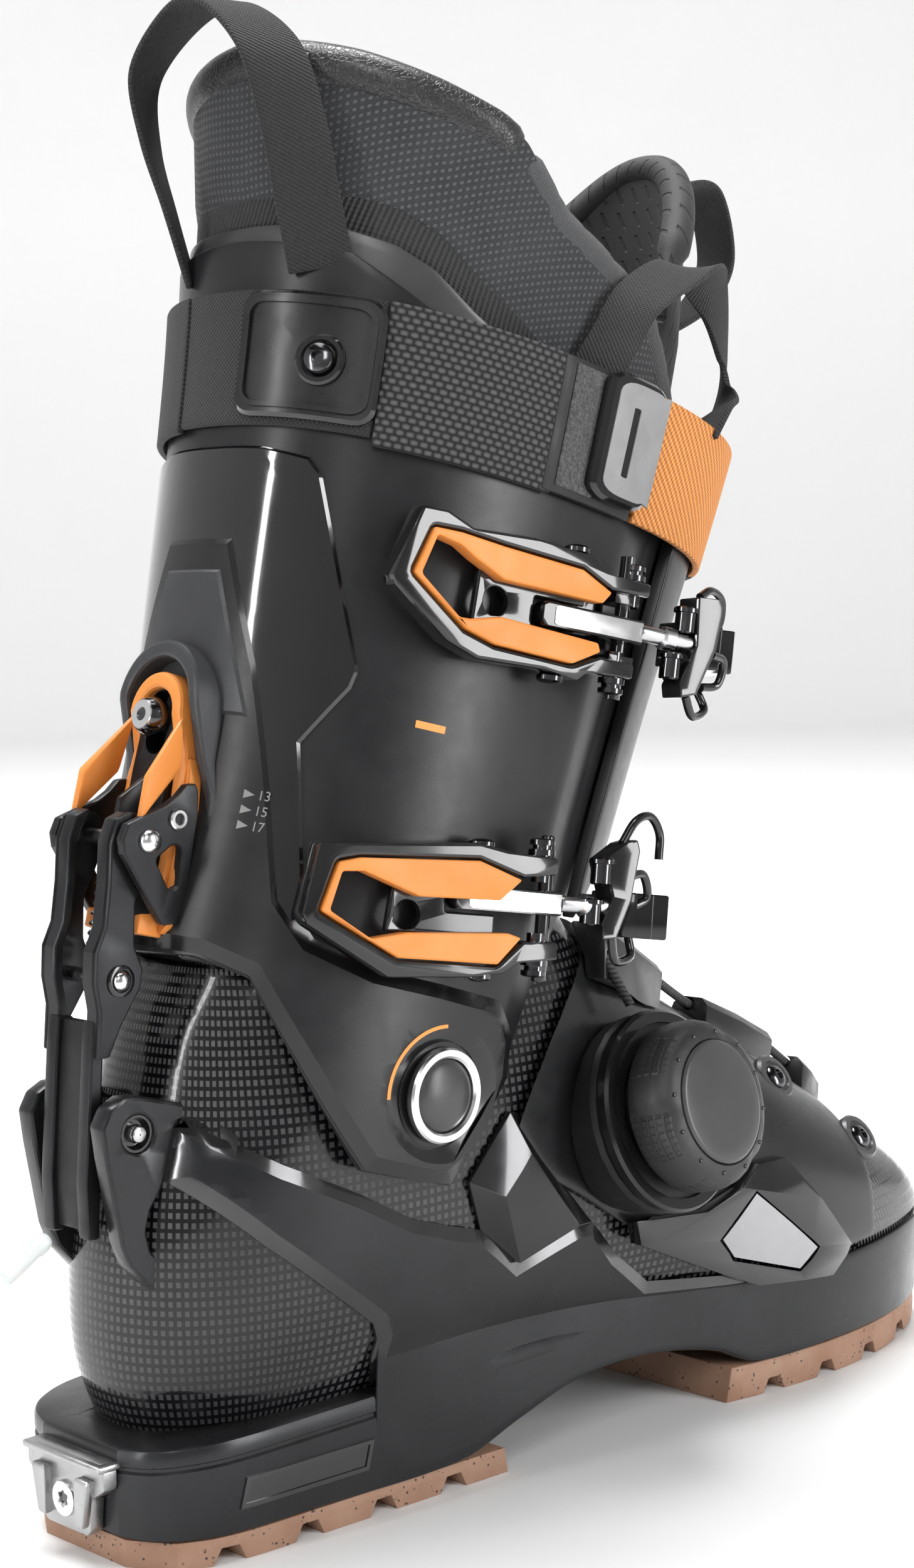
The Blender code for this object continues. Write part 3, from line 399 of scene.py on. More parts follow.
def smooth_path(points, steps):
    """Catmull-Rom curve through given points."""
    points = [Vector(p) for p in points]
    points = [2 * points[0] - points[1]] + points + [2 * points[-1] - points[-2]]
    path = []
    for a, b, c, d in zip(points, points[1:], points[2:], points[3:]):
        for k in range(steps):
            t = k / steps
            path.append(0.5 * (2 * b + (c - a) * t + (2 * a - 5 * b + 4 * c - d) * t**2
                               + (3 * b - a - 3 * c + d) * t**3))
    return path + [points[-2]]


def tube(path, radius, sides=10):
    """Rings of a round cord or wire along a path."""
    rings = []
    first = None
    for k, point in enumerate(path):
        ahead = (Vector(path[min(k + 1, len(path) - 1)]) - Vector(path[max(k - 1, 0)])).normalized()
        if first is None:
            first, second = across(ahead)
        else:
            first = (first - ahead * first.dot(ahead)).normalized()
            second = ahead.cross(first)
        rings.append([Vector(point) + (first * math.cos(2 * math.pi * i / sides)
                      + second * math.sin(2 * math.pi * i / sides)) * radius for i in range(sides)])
    return rings


# ------------------------------------------------------------------ materials
class Paint:
    """A Principled material and short names for the nodes that shape it."""

    def __init__(self, name, colour, roughness, metallic=0.0, **sockets):
        self.material = bpy.data.materials.new(name)
        self.material.use_nodes = True
        self.tree = self.material.node_tree
        self.shader = self.tree.nodes["Principled BSDF"]
        self.shader.inputs["Base Color"].default_value = (*colour, 1.0)
        self.shader.inputs["Roughness"].default_value = roughness
        self.shader.inputs["Metallic"].default_value = metallic
        for socket, value in sockets.items():
            self.shader.inputs[socket.replace("_", " ")].default_value = value
        self.place = None

    def node(self, kind, **settings):
        made = self.tree.nodes.new(kind)
        for key, value in settings.items():
            setattr(made, key, value)
        return made

    def link(self, source, target):
        self.tree.links.new(source, target)

    def spot(self):
        """Where on the object: the frame's own coordinates."""
        if self.place is None:
            self.place = self.node("ShaderNodeTexCoord").outputs["Object"]
        return self.place

    def pattern_uv(self):
        """The piece's pattern map, in millimetres."""
        made = self.node("ShaderNodeUVMap", uv_map="pattern")
        split = self.node("ShaderNodeSeparateXYZ")
        self.link(made.outputs["UV"], split.inputs[0])
        return split.outputs["X"], split.outputs["Y"]

    def math(self, operation, a, b=None, c=None):
        made = self.node("ShaderNodeMath", operation=operation)
        for k, value in enumerate((a, b, c)):
            if value is None:
                continue
            if isinstance(value, (int, float)):
                made.inputs[k].default_value = value
            else:
                self.link(value, made.inputs[k])
        return made.outputs[0]

    def noise(self, scale, detail=3.0, stretch=(1, 1, 1), rough=0.55):
        """Noise of about 1/scale metres, from 0 to 1."""
        mapping = self.node("ShaderNodeMapping")
        mapping.inputs["Scale"].default_value = stretch
        self.link(self.spot(), mapping.inputs["Vector"])
        made = self.node("ShaderNodeTexNoise")
        made.inputs["Scale"].default_value = scale
        made.inputs["Detail"].default_value = detail
        made.inputs["Roughness"].default_value = rough
        self.link(mapping.outputs[0], made.inputs["Vector"])
        return made.outputs["Fac"]

    def fit(self, value, low, high, out_low=0.0, out_high=1.0):
        made = self.node("ShaderNodeMapRange")
        made.clamp = True
        for k, number in enumerate((low, high, out_low, out_high)):
            made.inputs[k + 1].default_value = number
        self.link(value, made.inputs[0])
        return made.outputs[0]

    def colours(self, factor, first, second):
        made = self.node("ShaderNodeMix", data_type='RGBA')
        for socket, value in ((6, first), (7, second)):
            if isinstance(value, tuple):
                made.inputs[socket].default_value = (*value, 1.0)
            else:
                self.link(value, made.inputs[socket])
        self.link(factor, made.inputs[0])
        return made.outputs[2]

    def colour(self, value):
        self.link(value, self.shader.inputs["Base Color"])
        return self

    def rough(self, value):
        self.link(value, self.shader.inputs["Roughness"])
        return self

    def bump(self, height, depth, strength=1.0):
        """Relief of the given depth in millimetres."""
        made = self.node("ShaderNodeBump")
        made.inputs["Distance"].default_value = depth / 1000
        made.inputs["Strength"].default_value = strength
        self.link(height, made.inputs["Height"])
        if self.shader.inputs["Normal"].links:
            self.link(self.shader.inputs["Normal"].links[0].from_socket, made.inputs["Normal"])
        self.link(made.outputs[0], self.shader.inputs["Normal"])
        return self

    def cells(self, u, v, width, height, fill_u, fill_v, stagger=0.0):
        """Rows of small rectangles: 1 inside one, 0 between them."""
        line = self.math('DIVIDE', v, height)
        if stagger:
            odd = self.math('MODULO', self.math('FLOOR', line), 2.0)
            u = self.math('ADD', u, self.math('MULTIPLY', odd, width * stagger))
        part_of = self.math('FRACT', self.math('DIVIDE', u, width))
        x = self.math('ABSOLUTE', self.math('SUBTRACT', part_of, 0.5))
        y = self.math('ABSOLUTE', self.math('SUBTRACT', self.math('FRACT', line), 0.5))
        in_x = self.fit(x, fill_u / 2 - 0.03, fill_u / 2 + 0.03, 1.0, 0.0)
        in_y = self.fit(y, fill_v / 2 - 0.03, fill_v / 2 + 0.03, 1.0, 0.0)
        return self.math('MULTIPLY', in_x, in_y)

    def wear(self, colour, light, amount=0.5, scale=45.0):
        """Soft changes of tone with fine grain."""
        broad = self.noise(scale, 4.0)
        tone = self.fit(broad, 0.35, 0.7, 0.0, amount)
        return self.colours(tone, colour, light)


def moulded(name, colour, light, roughness, spread_of=0.12, metallic=0.0, grain=0.02, **sockets):
    """Moulded plastic or painted metal: broad tone changes, uneven gloss and a fine skin."""
    sockets.setdefault("Specular_IOR_Level", 0.32)
    p = Paint(name, colour, roughness, metallic, **sockets)
    p.colour(p.wear(colour, light))
    p.rough(p.fit(p.noise(160.0, 5.0), 0.3, 0.7, roughness - spread_of / 2, roughness + spread_of / 2))
    p.bump(p.noise(2600.0, 2.0), grain)
    return p


def make_materials():
    m = {}
    m["shell"] = shell_material()
    m["flap"] = moulded("flap", (0.012, 0.0124, 0.0134), (0.022, 0.0226, 0.024), 0.32, metallic=0.25,
                        Coat_Weight=0.3, Coat_Roughness=0.2).material
    m["exo"] = moulded("exo_satin", (0.016, 0.0166, 0.018), (0.027, 0.0276, 0.03), 0.3, 0.1, 0.45, 0.015,
                       Coat_Weight=0.2, Coat_Roughness=0.22).material
    m["exo_edge"] = moulded("exo_edge", (0.03, 0.03, 0.032), (0.06, 0.06, 0.063), 0.16, 0.07, 0.6, 0.008,
                            Coat_Weight=0.8, Coat_Roughness=0.08).material
    m["silver"] = moulded("guard_silver", (0.34, 0.34, 0.35), (0.46, 0.46, 0.47), 0.24, 0.1, 0.9, 0.008,
                          Coat_Weight=0.3, Coat_Roughness=0.12).material
    m["cuff"] = moulded("cuff_matte", (0.013, 0.0134, 0.0145), (0.024, 0.0246, 0.026), 0.34, 0.1, 0.2, 0.02,
                        Coat_Weight=0.15, Coat_Roughness=0.3).material
    m["spine"] = moulded("spine_grey", (0.045, 0.046, 0.048), (0.07, 0.071, 0.074), 0.38, 0.12, 0.3,
                         0.02).material
    m["wing_edge"] = moulded("wing_edge", (0.009, 0.009, 0.01), (0.018, 0.018, 0.02), 0.22, 0.1, 0.3,
                             0.01, Coat_Weight=0.5, Coat_Roughness=0.12).material
    m["panel"] = moulded("panel_gloss", (0.006, 0.006, 0.007), (0.012, 0.012, 0.013), 0.12, 0.06, 0.0,
                         0.004, Coat_Weight=1.0, Coat_Roughness=0.05).material
    m["black_gloss"] = moulded("black_gloss", (0.008, 0.008, 0.009), (0.018, 0.018, 0.019), 0.16, 0.08,
                               0.2, 0.005, Coat_Weight=0.8, Coat_Roughness=0.06).material
    m["black_matte"] = moulded("black_matte", (0.009, 0.009, 0.0096), (0.02, 0.02, 0.021), 0.48,
                               0.16).material
    m["orange"] = moulded("orange_plastic", (0.72, 0.235, 0.045), (0.86, 0.32, 0.085), 0.42, 0.14, 0.0, 0.02,
                          Subsurface_Weight=0.06).material
    m["orange_print"] = moulded("orange_print", (0.8, 0.3, 0.07), (0.88, 0.36, 0.1), 0.5).material
    m["grey_print"] = moulded("grey_print", (0.22, 0.22, 0.22), (0.3, 0.3, 0.3), 0.55).material
    m["anthracite"] = moulded("anthracite_metal", (0.022, 0.0224, 0.024), (0.04, 0.041, 0.043), 0.36, 0.14,
                              0.6, 0.018).material
    m["steel"] = moulded("steel", (0.5, 0.5, 0.51), (0.66, 0.66, 0.67), 0.24, 0.14, 1.0, 0.006).material
    m["bright"] = moulded("bright_metal", (0.78, 0.78, 0.79), (0.9, 0.9, 0.9), 0.2, 0.1, 1.0, 0.004).material
    m["chrome"] = moulded("black_chrome", (0.09, 0.09, 0.095), (0.16, 0.16, 0.165), 0.14, 0.08, 1.0,
                          0.004).material
    m["cast"] = moulded("cast_steel", (0.36, 0.36, 0.365), (0.56, 0.56, 0.565), 0.32, 0.18, 1.0,
                        0.05).material
    m["tab"] = moulded("clear_tab", (0.82, 0.82, 0.81), (0.92, 0.92, 0.9), 0.32, 0.1, 0.0, 0.01,
                       Transmission_Weight=0.35, Subsurface_Weight=0.3).material
    m["knob"] = knob_material()
    m["cap"] = moulded("dial_cap_satin", (0.06, 0.06, 0.062), (0.085, 0.085, 0.088), 0.34, 0.1, 0.3, 0.012,
                       Coat_Weight=0.2, Coat_Roughness=0.25).material
    m["gum"] = gum_material()
    m["liner"] = liner_material()
    m["knit"] = knit_material()
    m["rim"] = leather_material()
    m["collar_band"] = ribbed_material()
    m["tongue"] = tongue_material()
    m["webbing"] = webbing_material("webbing_dark", (0.01, 0.01, 0.0106), (0.034, 0.034, 0.036), 1.5)
    m["orange_web"] = webbing_material("webbing_orange", (0.36, 0.1, 0.015), (0.9, 0.38, 0.1), 3.0)
    m["strap"] = strap_material()
    m["elastic"] = elastic_material()
    m["lace"] = lace_material()
    m["velcro"] = velcro_material()
    m["cap_bright"] = moulded("satin_grey", (0.3, 0.3, 0.305), (0.38, 0.38, 0.385), 0.34, 0.1, 0.5).material
    m["liner_plain"] = moulded("liner_inside", (0.03, 0.031, 0.033), (0.05, 0.051, 0.054), 0.85,
                               0.08).material
    return m


def shell_material():
    """Black gloss shell: a regular grid of small grey marks, and slanting strokes over the toe, the marks
    brightened and dimmed by a painted sheen.
    """
    p = Paint("shell_gloss", (0.005, 0.005, 0.006), 0.2, 0.0, Coat_Weight=0.35, Coat_Roughness=0.03,
              Specular_IOR_Level=0.3)
    u, v = p.pattern_uv()
    grid = p.cells(u, v, 2.3, 2.35, 0.55, 0.58)
    strokes = p.cells(p.math('ADD', u, p.math('MULTIPLY', v, 0.7)), v, 1.7, 3.4, 0.5, 0.78)
    toe = p.fit(u, 246.0, 246.4)
    grid = p.math('MULTIPLY', grid, p.math('SUBTRACT', 1.0, toe))
    mark = p.math('ADD', grid, p.math('MULTIPLY', strokes, toe))
    # painted sheen: broad noise brightens the grey marks in patches and dims them elsewhere, standing in for
    # highlights lighting them up
    fade = p.fit(p.noise(16.0, 1.0), 0.38, 0.62, 0.35, 1.0)
    shade = p.colours(p.math('MULTIPLY', mark, fade), (0.004, 0.004, 0.005), (0.085, 0.085, 0.088))
    p.colour(shade)
    p.rough(p.fit(mark, 0.0, 1.0, 0.17, 0.42))
    p.bump(mark, 0.02)
    p.bump(p.noise(900.0, 2.0), 0.004)
    return p.material


def liner_material():
    """Charcoal textile with rows of small lighter rectangles."""
    p = Paint("liner_textile", (0.018, 0.0186, 0.0204), 0.86, Sheen_Weight=0.08)
    u, v = p.pattern_uv()
    mark = p.cells(u, v, 1.55, 1.9, 0.5, 0.42)
    weave = p.math('MULTIPLY', p.math('SINE', p.math('MULTIPLY', u, 9.0)),
                   p.math('SINE', p.math('MULTIPLY', v, 9.0)))
    ground = p.colours(p.fit(p.noise(70.0, 4.0), 0.35, 0.7), (0.026, 0.027, 0.03), (0.038, 0.04, 0.043))
    p.colour(p.colours(mark, ground, (0.075, 0.077, 0.08)))
    p.rough(p.fit(mark, 0.0, 1.0, 0.9, 0.6))
    p.bump(weave, 0.12, 0.7)
    p.bump(mark, 0.12)
    return p.material


def knit_material():
    p = Paint("knit_grey", (0.12, 0.122, 0.125), 0.9, Sheen_Weight=0.1)
    u, v = p.pattern_uv()
    rib = p.math('SINE', p.math('MULTIPLY', p.math('ADD', u, v), 6.5))
    cross = p.math('SINE', p.math('MULTIPLY', p.math('SUBTRACT', u, v), 6.5))
    knots = p.fit(p.math('MULTIPLY', rib, cross), -0.6, 0.8)
    p.colour(p.colours(knots, (0.05, 0.052, 0.055), (0.13, 0.132, 0.136)))
    p.bump(p.math('MULTIPLY', rib, cross), 0.18)
    p.bump(p.noise(220.0, 3.0), 0.3, 0.5)
    return p.material


def leather_material():
    p = Paint("rim_leather", (0.012, 0.012, 0.013), 0.38, Coat_Weight=0.15, Coat_Roughness=0.3)
    grain = p.node("ShaderNodeTexVoronoi", feature='DISTANCE_TO_EDGE')
    grain.inputs["Scale"].default_value = 900.0
    p.link(p.spot(), grain.inputs["Vector"])
    creases = p.fit(grain.outputs["Distance"], 0.0, 0.12)
    p.colour(p.colours(creases, (0.005, 0.005, 0.006), (0.02, 0.02, 0.021)))
    p.rough(p.fit(p.noise(120.0, 4.0), 0.3, 0.7, 0.3, 0.46))
    p.bump(creases, 0.1)
    p.bump(p.noise(60.0, 2.0), 0.4, 0.4)
    return p.material


def ribbed_material():
    p = Paint("collar_band", (0.06, 0.061, 0.064), 0.7, Sheen_Weight=0.05)
    u, v = p.pattern_uv()
    rib = p.math('SINE', p.math('MULTIPLY', v, 4.2))
    p.colour(p.colours(p.fit(rib, -1.0, 1.0), (0.008, 0.0083, 0.009), (0.03, 0.031, 0.033)))
    p.bump(rib, 0.25)
    p.bump(p.math('SINE', p.math('MULTIPLY', u, 5.0)), 0.06)
    return p.material


def tongue_material():
    """Dark foam skin pressed with short slanting strokes."""
    p = Paint("tongue_foam", (0.02, 0.0205, 0.022), 0.7, Sheen_Weight=0.05)
    u, v = p.pattern_uv()
    stroke = p.cells(p.math('ADD', u, p.math('MULTIPLY', v, 0.8)), v, 7.5, 7.0, 0.16, 0.62, 0.5)
    p.colour(p.colours(stroke, (0.013, 0.0133, 0.0142), (0.005, 0.005, 0.0055)))
    p.bump(p.math('SUBTRACT', 1.0, stroke), 0.5)
    p.bump(p.noise(1200.0, 2.0), 0.08)
    return p.material


def webbing_material(name, dark, light, pitch):
    """Woven webbing with a diagonal rib."""
    p = Paint(name, dark, 0.85, Sheen_Weight=0.05)
    u, v = p.pattern_uv()
    step = 2 * math.pi / pitch
    rib = p.math('SINE', p.math('MULTIPLY', p.math('ADD', u, p.math('MULTIPLY', v, 1.3)), step))
    thread = p.math('SINE', p.math('MULTIPLY', p.math('SUBTRACT', p.math('MULTIPLY', u, 1.3), v), step * 1.7))
    height = p.math('ADD', p.math('MULTIPLY', rib, 0.6), p.math('MULTIPLY', thread, 0.4))
    p.colour(p.colours(p.fit(height, -0.8, 0.9), dark, light))
    p.bump(height, 0.22)
    p.bump(p.noise(1500.0, 2.0), 0.1)
    return p.material


def strap_material():
    p = Paint("strap_weave", (0.016, 0.016, 0.017), 0.8, Sheen_Weight=0.05)
    u, v = p.pattern_uv()
    weave = p.math('MULTIPLY', p.math('SINE', p.math('MULTIPLY', u, 5.2)),
                   p.math('SINE', p.math('MULTIPLY', v, 5.2)))
    p.colour(p.colours(p.fit(weave, -0.8, 0.8), (0.006, 0.006, 0.007), (0.026, 0.026, 0.027)))
    p.bump(weave, 0.15)
    p.bump(p.noise(1100.0, 2.0), 0.08)
    return p.material


def elastic_material():
    """Coarse knitted elastic: rows of raised loops."""
    p = Paint("elastic_knit", (0.02, 0.02, 0.022), 0.82, Sheen_Weight=0.05)
    u, v = p.pattern_uv()
    line = p.math('DIVIDE', v, 1.7)
    odd = p.math('MODULO', p.math('FLOOR', line), 2.0)
    along = p.math('ADD', p.math('DIVIDE', u, 2.6), p.math('MULTIPLY', odd, 0.5))
    loop = p.math('MULTIPLY', p.math('ABSOLUTE', p.math('SINE', p.math('MULTIPLY', along, math.pi))),
                  p.math('ABSOLUTE', p.math('SINE', p.math('MULTIPLY', line, math.pi))))
    p.colour(p.colours(p.fit(loop, 0.15, 0.85), (0.004, 0.004, 0.005), (0.085, 0.086, 0.088)))
    p.bump(loop, 0.5)
    p.bump(p.noise(900.0, 2.0), 0.12)
    return p.material


def velcro_material():
    """Fuzzy loop patch."""
    p = Paint("loop_patch", (0.02, 0.02, 0.021), 0.9, Sheen_Weight=0.4)
    fuzz = p.noise(1100.0, 4.0, rough=0.8)
    p.colour(p.colours(p.fit(fuzz, 0.42, 0.68), (0.008, 0.008, 0.009), (0.14, 0.14, 0.142)))
    p.bump(fuzz, 1.2)
    return p.material


def lace_material():
    p = Paint("lace_braid", (0.02, 0.02, 0.022), 0.6, Sheen_Weight=0.05)
    u, v = p.pattern_uv()
    braid = p.math('SINE', p.math('ADD', p.math('MULTIPLY', v, 4.5), p.math('MULTIPLY', u, 1.5)))
    p.colour(p.colours(p.fit(braid, -1.0, 1.0), (0.01, 0.01, 0.011), (0.06, 0.06, 0.062)))
    p.bump(braid, 0.12)
    return p.material


def gum_material():
    """Brown gum rubber with dark crumbs in it and broad changes of tone."""
    p = Paint("gum_rubber", (0.3, 0.17, 0.11), 0.66)
    crumbs = p.node("ShaderNodeTexVoronoi")
    crumbs.inputs["Scale"].default_value = 700.0
    p.link(p.spot(), crumbs.inputs["Vector"])
    dark = p.math('MULTIPLY', p.fit(crumbs.outputs["Distance"], 0.2, 0.3, 1.0, 0.0),
                  p.fit(p.noise(240.0, 1.0), 0.52, 0.58))
    ground = p.wear((0.3, 0.165, 0.105), (0.42, 0.26, 0.18), 0.8, 60.0)
    p.colour(p.colours(dark, ground, (0.05, 0.03, 0.025)))
    p.rough(p.fit(p.noise(150.0, 4.0), 0.3, 0.7, 0.55, 0.78))
    p.bump(p.noise(1400.0, 3.0), 0.08)
    return p.material


def knob_material():
    p = Paint("knob_rubber", (0.02, 0.02, 0.021), 0.5)
    p.colour(p.wear((0.016, 0.016, 0.017), (0.03, 0.03, 0.031)))
    p.rough(p.fit(p.noise(200.0, 4.0), 0.3, 0.7, 0.4, 0.56))
    u, v = p.pattern_uv()
    block = p.cells(u, v, 2.0, 2.4, 0.8, 0.72)
    sector = p.fit(p.math('SINE', p.math('DIVIDE', u, 22.0 / 6)), -0.1, 0.1)
    side_band = p.math('MULTIPLY', p.fit(v, 17.5, 18.0), p.fit(v, 30.5, 31.0, 1.0, 0.0))
    p.bump(p.math('MULTIPLY', p.math('MULTIPLY', block, sector), side_band), 0.5)
    p.bump(p.noise(1800.0, 2.0), 0.05)
    return p.material


M = make_materials()


# ------------------------------------------------------------------ plates over curved surfaces
SIDE_TREES = {}


def shell_tree(off):
    """Search tree of the lower shell's surface grown by off."""
    if off not in SIDE_TREES:
        degrees = spread(-180, 180, 121)
        points = [shell_ring(degrees, q, off) for q in spread(0, LAST, 120)]
        verts = [p for line in points for p in line]
        SIDE_TREES[off] = BVHTree.FromPolygons(verts, grid_faces(len(points), len(degrees)))
    return SIDE_TREES[off]


def on_side(side):
    """Places side-view points (x, z) on one flank of the lower shell: -1 is the outer flank."""
    def touch(x, z, off):
        hit = shell_tree(off).ray_cast(Vector((x, side * 120, z)), Vector((0, -side, 0)))[0]
        return hit or shell_tree(off).find_nearest(Vector((x, side * 60, z)))[0]

    def place(x, z, off):
        return touch(x, z, 0.0).lerp(touch(x, z, 6.0), off / 6.0)
    return place


def on_cuff(degrees, s, off):
    return cuff_point(degrees, s, off)


def cuff_angle(u, s):
    """Degrees on the outer side of the cuff for a point u forward of the pivot."""
    rear, front, middle, exponent = (curve(CUFF, k, s) for k in (1, 2, 3, 5))
    reach = front - middle if u > middle else middle - rear
    share = max(-1.0, min(1.0, (u - middle) / reach))
    return math.degrees(math.acos(math.copysign(abs(share) ** (exponent / 2), share)))


def flat_region(outline, holes, chamfer, drop, step):
    """Flat mesh of an outline with holes, cut into a grid; its z says how far the rim has fallen."""
    bm = bmesh.new()
    for loop in [outline] + list(holes):
        verts = [bm.verts.new((a, b, 0)) for a, b in loop]
        for k, vert in enumerate(verts):
            bm.edges.new((vert, verts[(k + 1) % len(verts)]))
    bmesh.ops.triangle_fill(bm, use_beauty=True, edges=list(bm.edges))
    if chamfer:
        made = bmesh.ops.inset_region(bm, faces=list(bm.faces), thickness=chamfer, use_even_offset=True,
                                      use_boundary=True)
        for face in made["faces"]:
            face.material_index = 1
        for vert in bm.verts:
            vert.co.z = -drop if vert.is_boundary else 0.0
    for axis in (0, 1) if step else ():
        values = [v.co[axis] for v in bm.verts]
        cut = math.floor(min(values) / step) * step + step
        while cut < max(values):
            plane = [0.0, 0.0, 0.0]
            plane[axis] = 1.0
            at = [0.0, 0.0, 0.0]
            at[axis] = cut
            bmesh.ops.bisect_plane(bm, geom=list(bm.verts) + list(bm.edges) + list(bm.faces),
                                   plane_co=at, plane_no=plane, dist=0.02)
            cut += step
    bm.verts.ensure_lookup_table()
    bm.verts.index_update()
    return bm


def plate(name, outline, place, low, high, body, materials, chamfer=1.0, drop=1.0, holes=(), step=3.0,
          nodes=(), round_off=0.0):
    """Plate over a curved surface, with a sloping rim that falls by drop."""
    bm = flat_region(outline, holes, chamfer, drop, step)
    count = len(bm.verts)
    top = [place(v.co.x, v.co.y, high + v.co.z) for v in bm.verts]
    bottom = [place(v.co.x, v.co.y, low) for v in bm.verts]
    faces, marks = [], []
    for f in bm.faces:
        loop = tuple(v.index for v in f.verts)
        faces += [loop, tuple(count + k for k in reversed(loop))]
        marks += [f.material_index, 0]
    for e in bm.edges:
        if e.is_boundary:
            a, b = (v.index for v in e.verts)
            faces.append((a, b, count + b, count + a))
            marks.append(1)
    flat = [(v.co.x, v.co.y) for v in bm.verts]
    bm.free()
    return closed_piece(name, top + bottom, faces, marks, body, materials, nodes, round_off, flat + flat)


def closed_piece(name, verts, faces, marks, body, materials, nodes=(), round_off=0.0, uvs=None, sharp=22):
    """Piece whose faces are marked with the material that each one takes."""
    mesh = mesh_of(name, verts, faces, uvs)
    for polygon, mark in zip(mesh.polygons, marks):
        polygon.material_index = mark
    tidy_normals(mesh)
    obj = add_object(name, mesh)
    if round_off:
        bevel_edges(obj, round_off, 2, 25)
        bake(obj)
    slots = [polygon.material_index for polygon in obj.data.polygons]
    finish_piece(obj, body, materials, nodes, sharp)
    for polygon, mark in zip(obj.data.polygons, slots):
        polygon.material_index = min(mark, len(materials) - 1)
    return obj


def flat_part(name, outline, at, low, high, body, material, nodes=(), holes=(), round_off=0.5):
    """Flat machined or moulded part with holes and rounded edges."""
    return plate(name, outline, at, low, high, body, [material], 0.0, 0.0, holes, 0.0, nodes, round_off)


def facets(name, points, faces, place, body, materials, base=0.4, nodes=()):
    """Flat facets between named points (a, b, off) over a curved surface, closed underneath."""
    keys = list(points)
    top = [place(a, b, 0.0) + (place(a, b, 3.0) - place(a, b, 0.0)).normalized() * off
           for a, b, off in points.values()]
    bottom = [place(a, b, base) for a, b, off in points.values()]
    count = len(keys)
    loops, marks, edges = [], [], {}
    for labels, mark in faces:
        loop = [keys.index(k) for k in labels]
        loops.append(tuple(loop))
        marks.append(mark)
        loops.append(tuple(count + k for k in reversed(loop)))
        marks.append(mark)
        for a, b in zip(loop, loop[1:] + loop[:1]):
            edges[frozenset((a, b))] = edges.get(frozenset((a, b)), []) + [(a, b, mark)]
    for users in edges.values():
        if len(users) == 1:
            a, b, mark = users[0]
            loops.append((b, a, count + a, count + b))
            marks.append(mark)
    return closed_piece(name, top + bottom, loops, marks, body, materials, nodes, 0.35, None, 20)


# ------------------------------------------------------------------ lower shell
def shell_map(p):
    """Pattern map of the lower shell: along its side and round its heel, against height."""
    turn_x = 45.0
    if p.x >= turn_x:
        return (p.x, p.z)
    return (turn_x - 44.0 * math.atan2(turn_x - p.x, abs(p.y) + 0.01), p.z)


def shrunk(ring, share, push):
    """A ring drawn in towards its middle and pushed forward."""
    middle = sum(ring, Vector()) / len(ring)
    return [middle + (p - middle) * share + Vector((push, 0, 0)) for p in ring]


def make_lower_shell():
    degrees = spread(-180, 180, 129)[:-1]
    stations = [0.0, 0.1, 0.25, 0.5, 0.75] + spread(1, LAST, 112)
    rings = [shell_ring(degrees, q) for q in stations]
    inside = [shell_ring(degrees, max(q, 1.3), -SHELL_WALL) for q in reversed(stations)]
    closing = ((0.8, 0.7), (0.5, 1.4), (0.2, 1.8), (0.04, 1.9))
    rings += [shrunk(rings[-1], share, push) for share, push in closing]
    rings += [shrunk(inside[0], share, -1.0) for share, _ in reversed(closing)] + inside
    verts, faces = loft(rings)
    mesh = mesh_of("shell_body", verts, faces, [shell_map(p) for p in verts])
    tidy_normals(mesh)
    finish_piece(add_object("shell_body", mesh), "lower_shell", [M["shell"]], ["lower_shell"], 40)


EXO_OUTLINE = [(14, 92), (16, 109), (24, 102), (36, 94.5), (56, 84.5), (72, 75.5), (84, 71.5), (94.5, 68.5),
               (109, 57), (130, 63), (136, 62.5), (145.5, 52), (160, 41), (200, 36), (228, 33), (228, 28),
               (190, 31), (150, 34), (112, 34.5), (66, 33), (63, 41), (63.5, 46), (61.5, 50.5), (46.5, 62.5),
               (31, 75.5), (18, 88)]
EXO_PEAK = {
    "left foot": (90.5, 81.5, 1.6), "apex": (105.5, 97.3, 2.0), "apex right": (108.5, 96.5, 1.6),
    "fold top": (109.5, 86.2, 5.2), "fold low": (99.6, 76.7, 5.2), "corner": (94.5, 68.5, 1.4),
    "inner": (109, 56.8, 2.9), "right": (129.6, 62.9, 2.9), "right edge": (136.0, 62.5, 1.2),
    "top edge": (119.5, 80.5, 1.2),
}
EXO_FACETS = [
    (("left foot", "apex", "fold top", "fold low"), 1), (("fold low", "fold top", "right", "inner"), 0),
    (("left foot", "fold low", "inner", "corner"), 2), (("apex", "apex right", "top edge", "fold top"), 2),
    (("fold top", "top edge", "right edge", "right"), 2),
]


def make_exo_frames():
    for side, label in ((-1, "lateral"), (1, "medial")):
        place = on_side(side)
        plate(f"exo_band_{label}", EXO_OUTLINE, place, 0.4, 2.8, "lower_shell", [M["exo"], M["exo_edge"]],
              3.4, 1.6, nodes=[f"exo_frame_{label}"], step=4.0)
        facets(f"exo_peak_{label}", EXO_PEAK, EXO_FACETS, place, "lower_shell",
               [M["exo"], M["exo_edge"], M["wing_edge"]])


CHEEK = [(-2.9, 106.9), (-0.4, 111.2), (4.0, 113.4), (8, 113), (23.6, 108.6), (21, 101.7), (17.7, 97),
         (13.5, 88.8), (10.2, 84.4), (9.1, 80.5), (10.5, 74.8), (16.8, 71.2), (16.8, 69), (15.1, 64.2),
         (11.2, 64.7), (4, 72.6), (2, 77.8), (-1.9, 98.9)]
SKIRT_TOP = [(62, 45), (112, 42), (150, 40), (190, 36), (228, 34), (292, 37)]


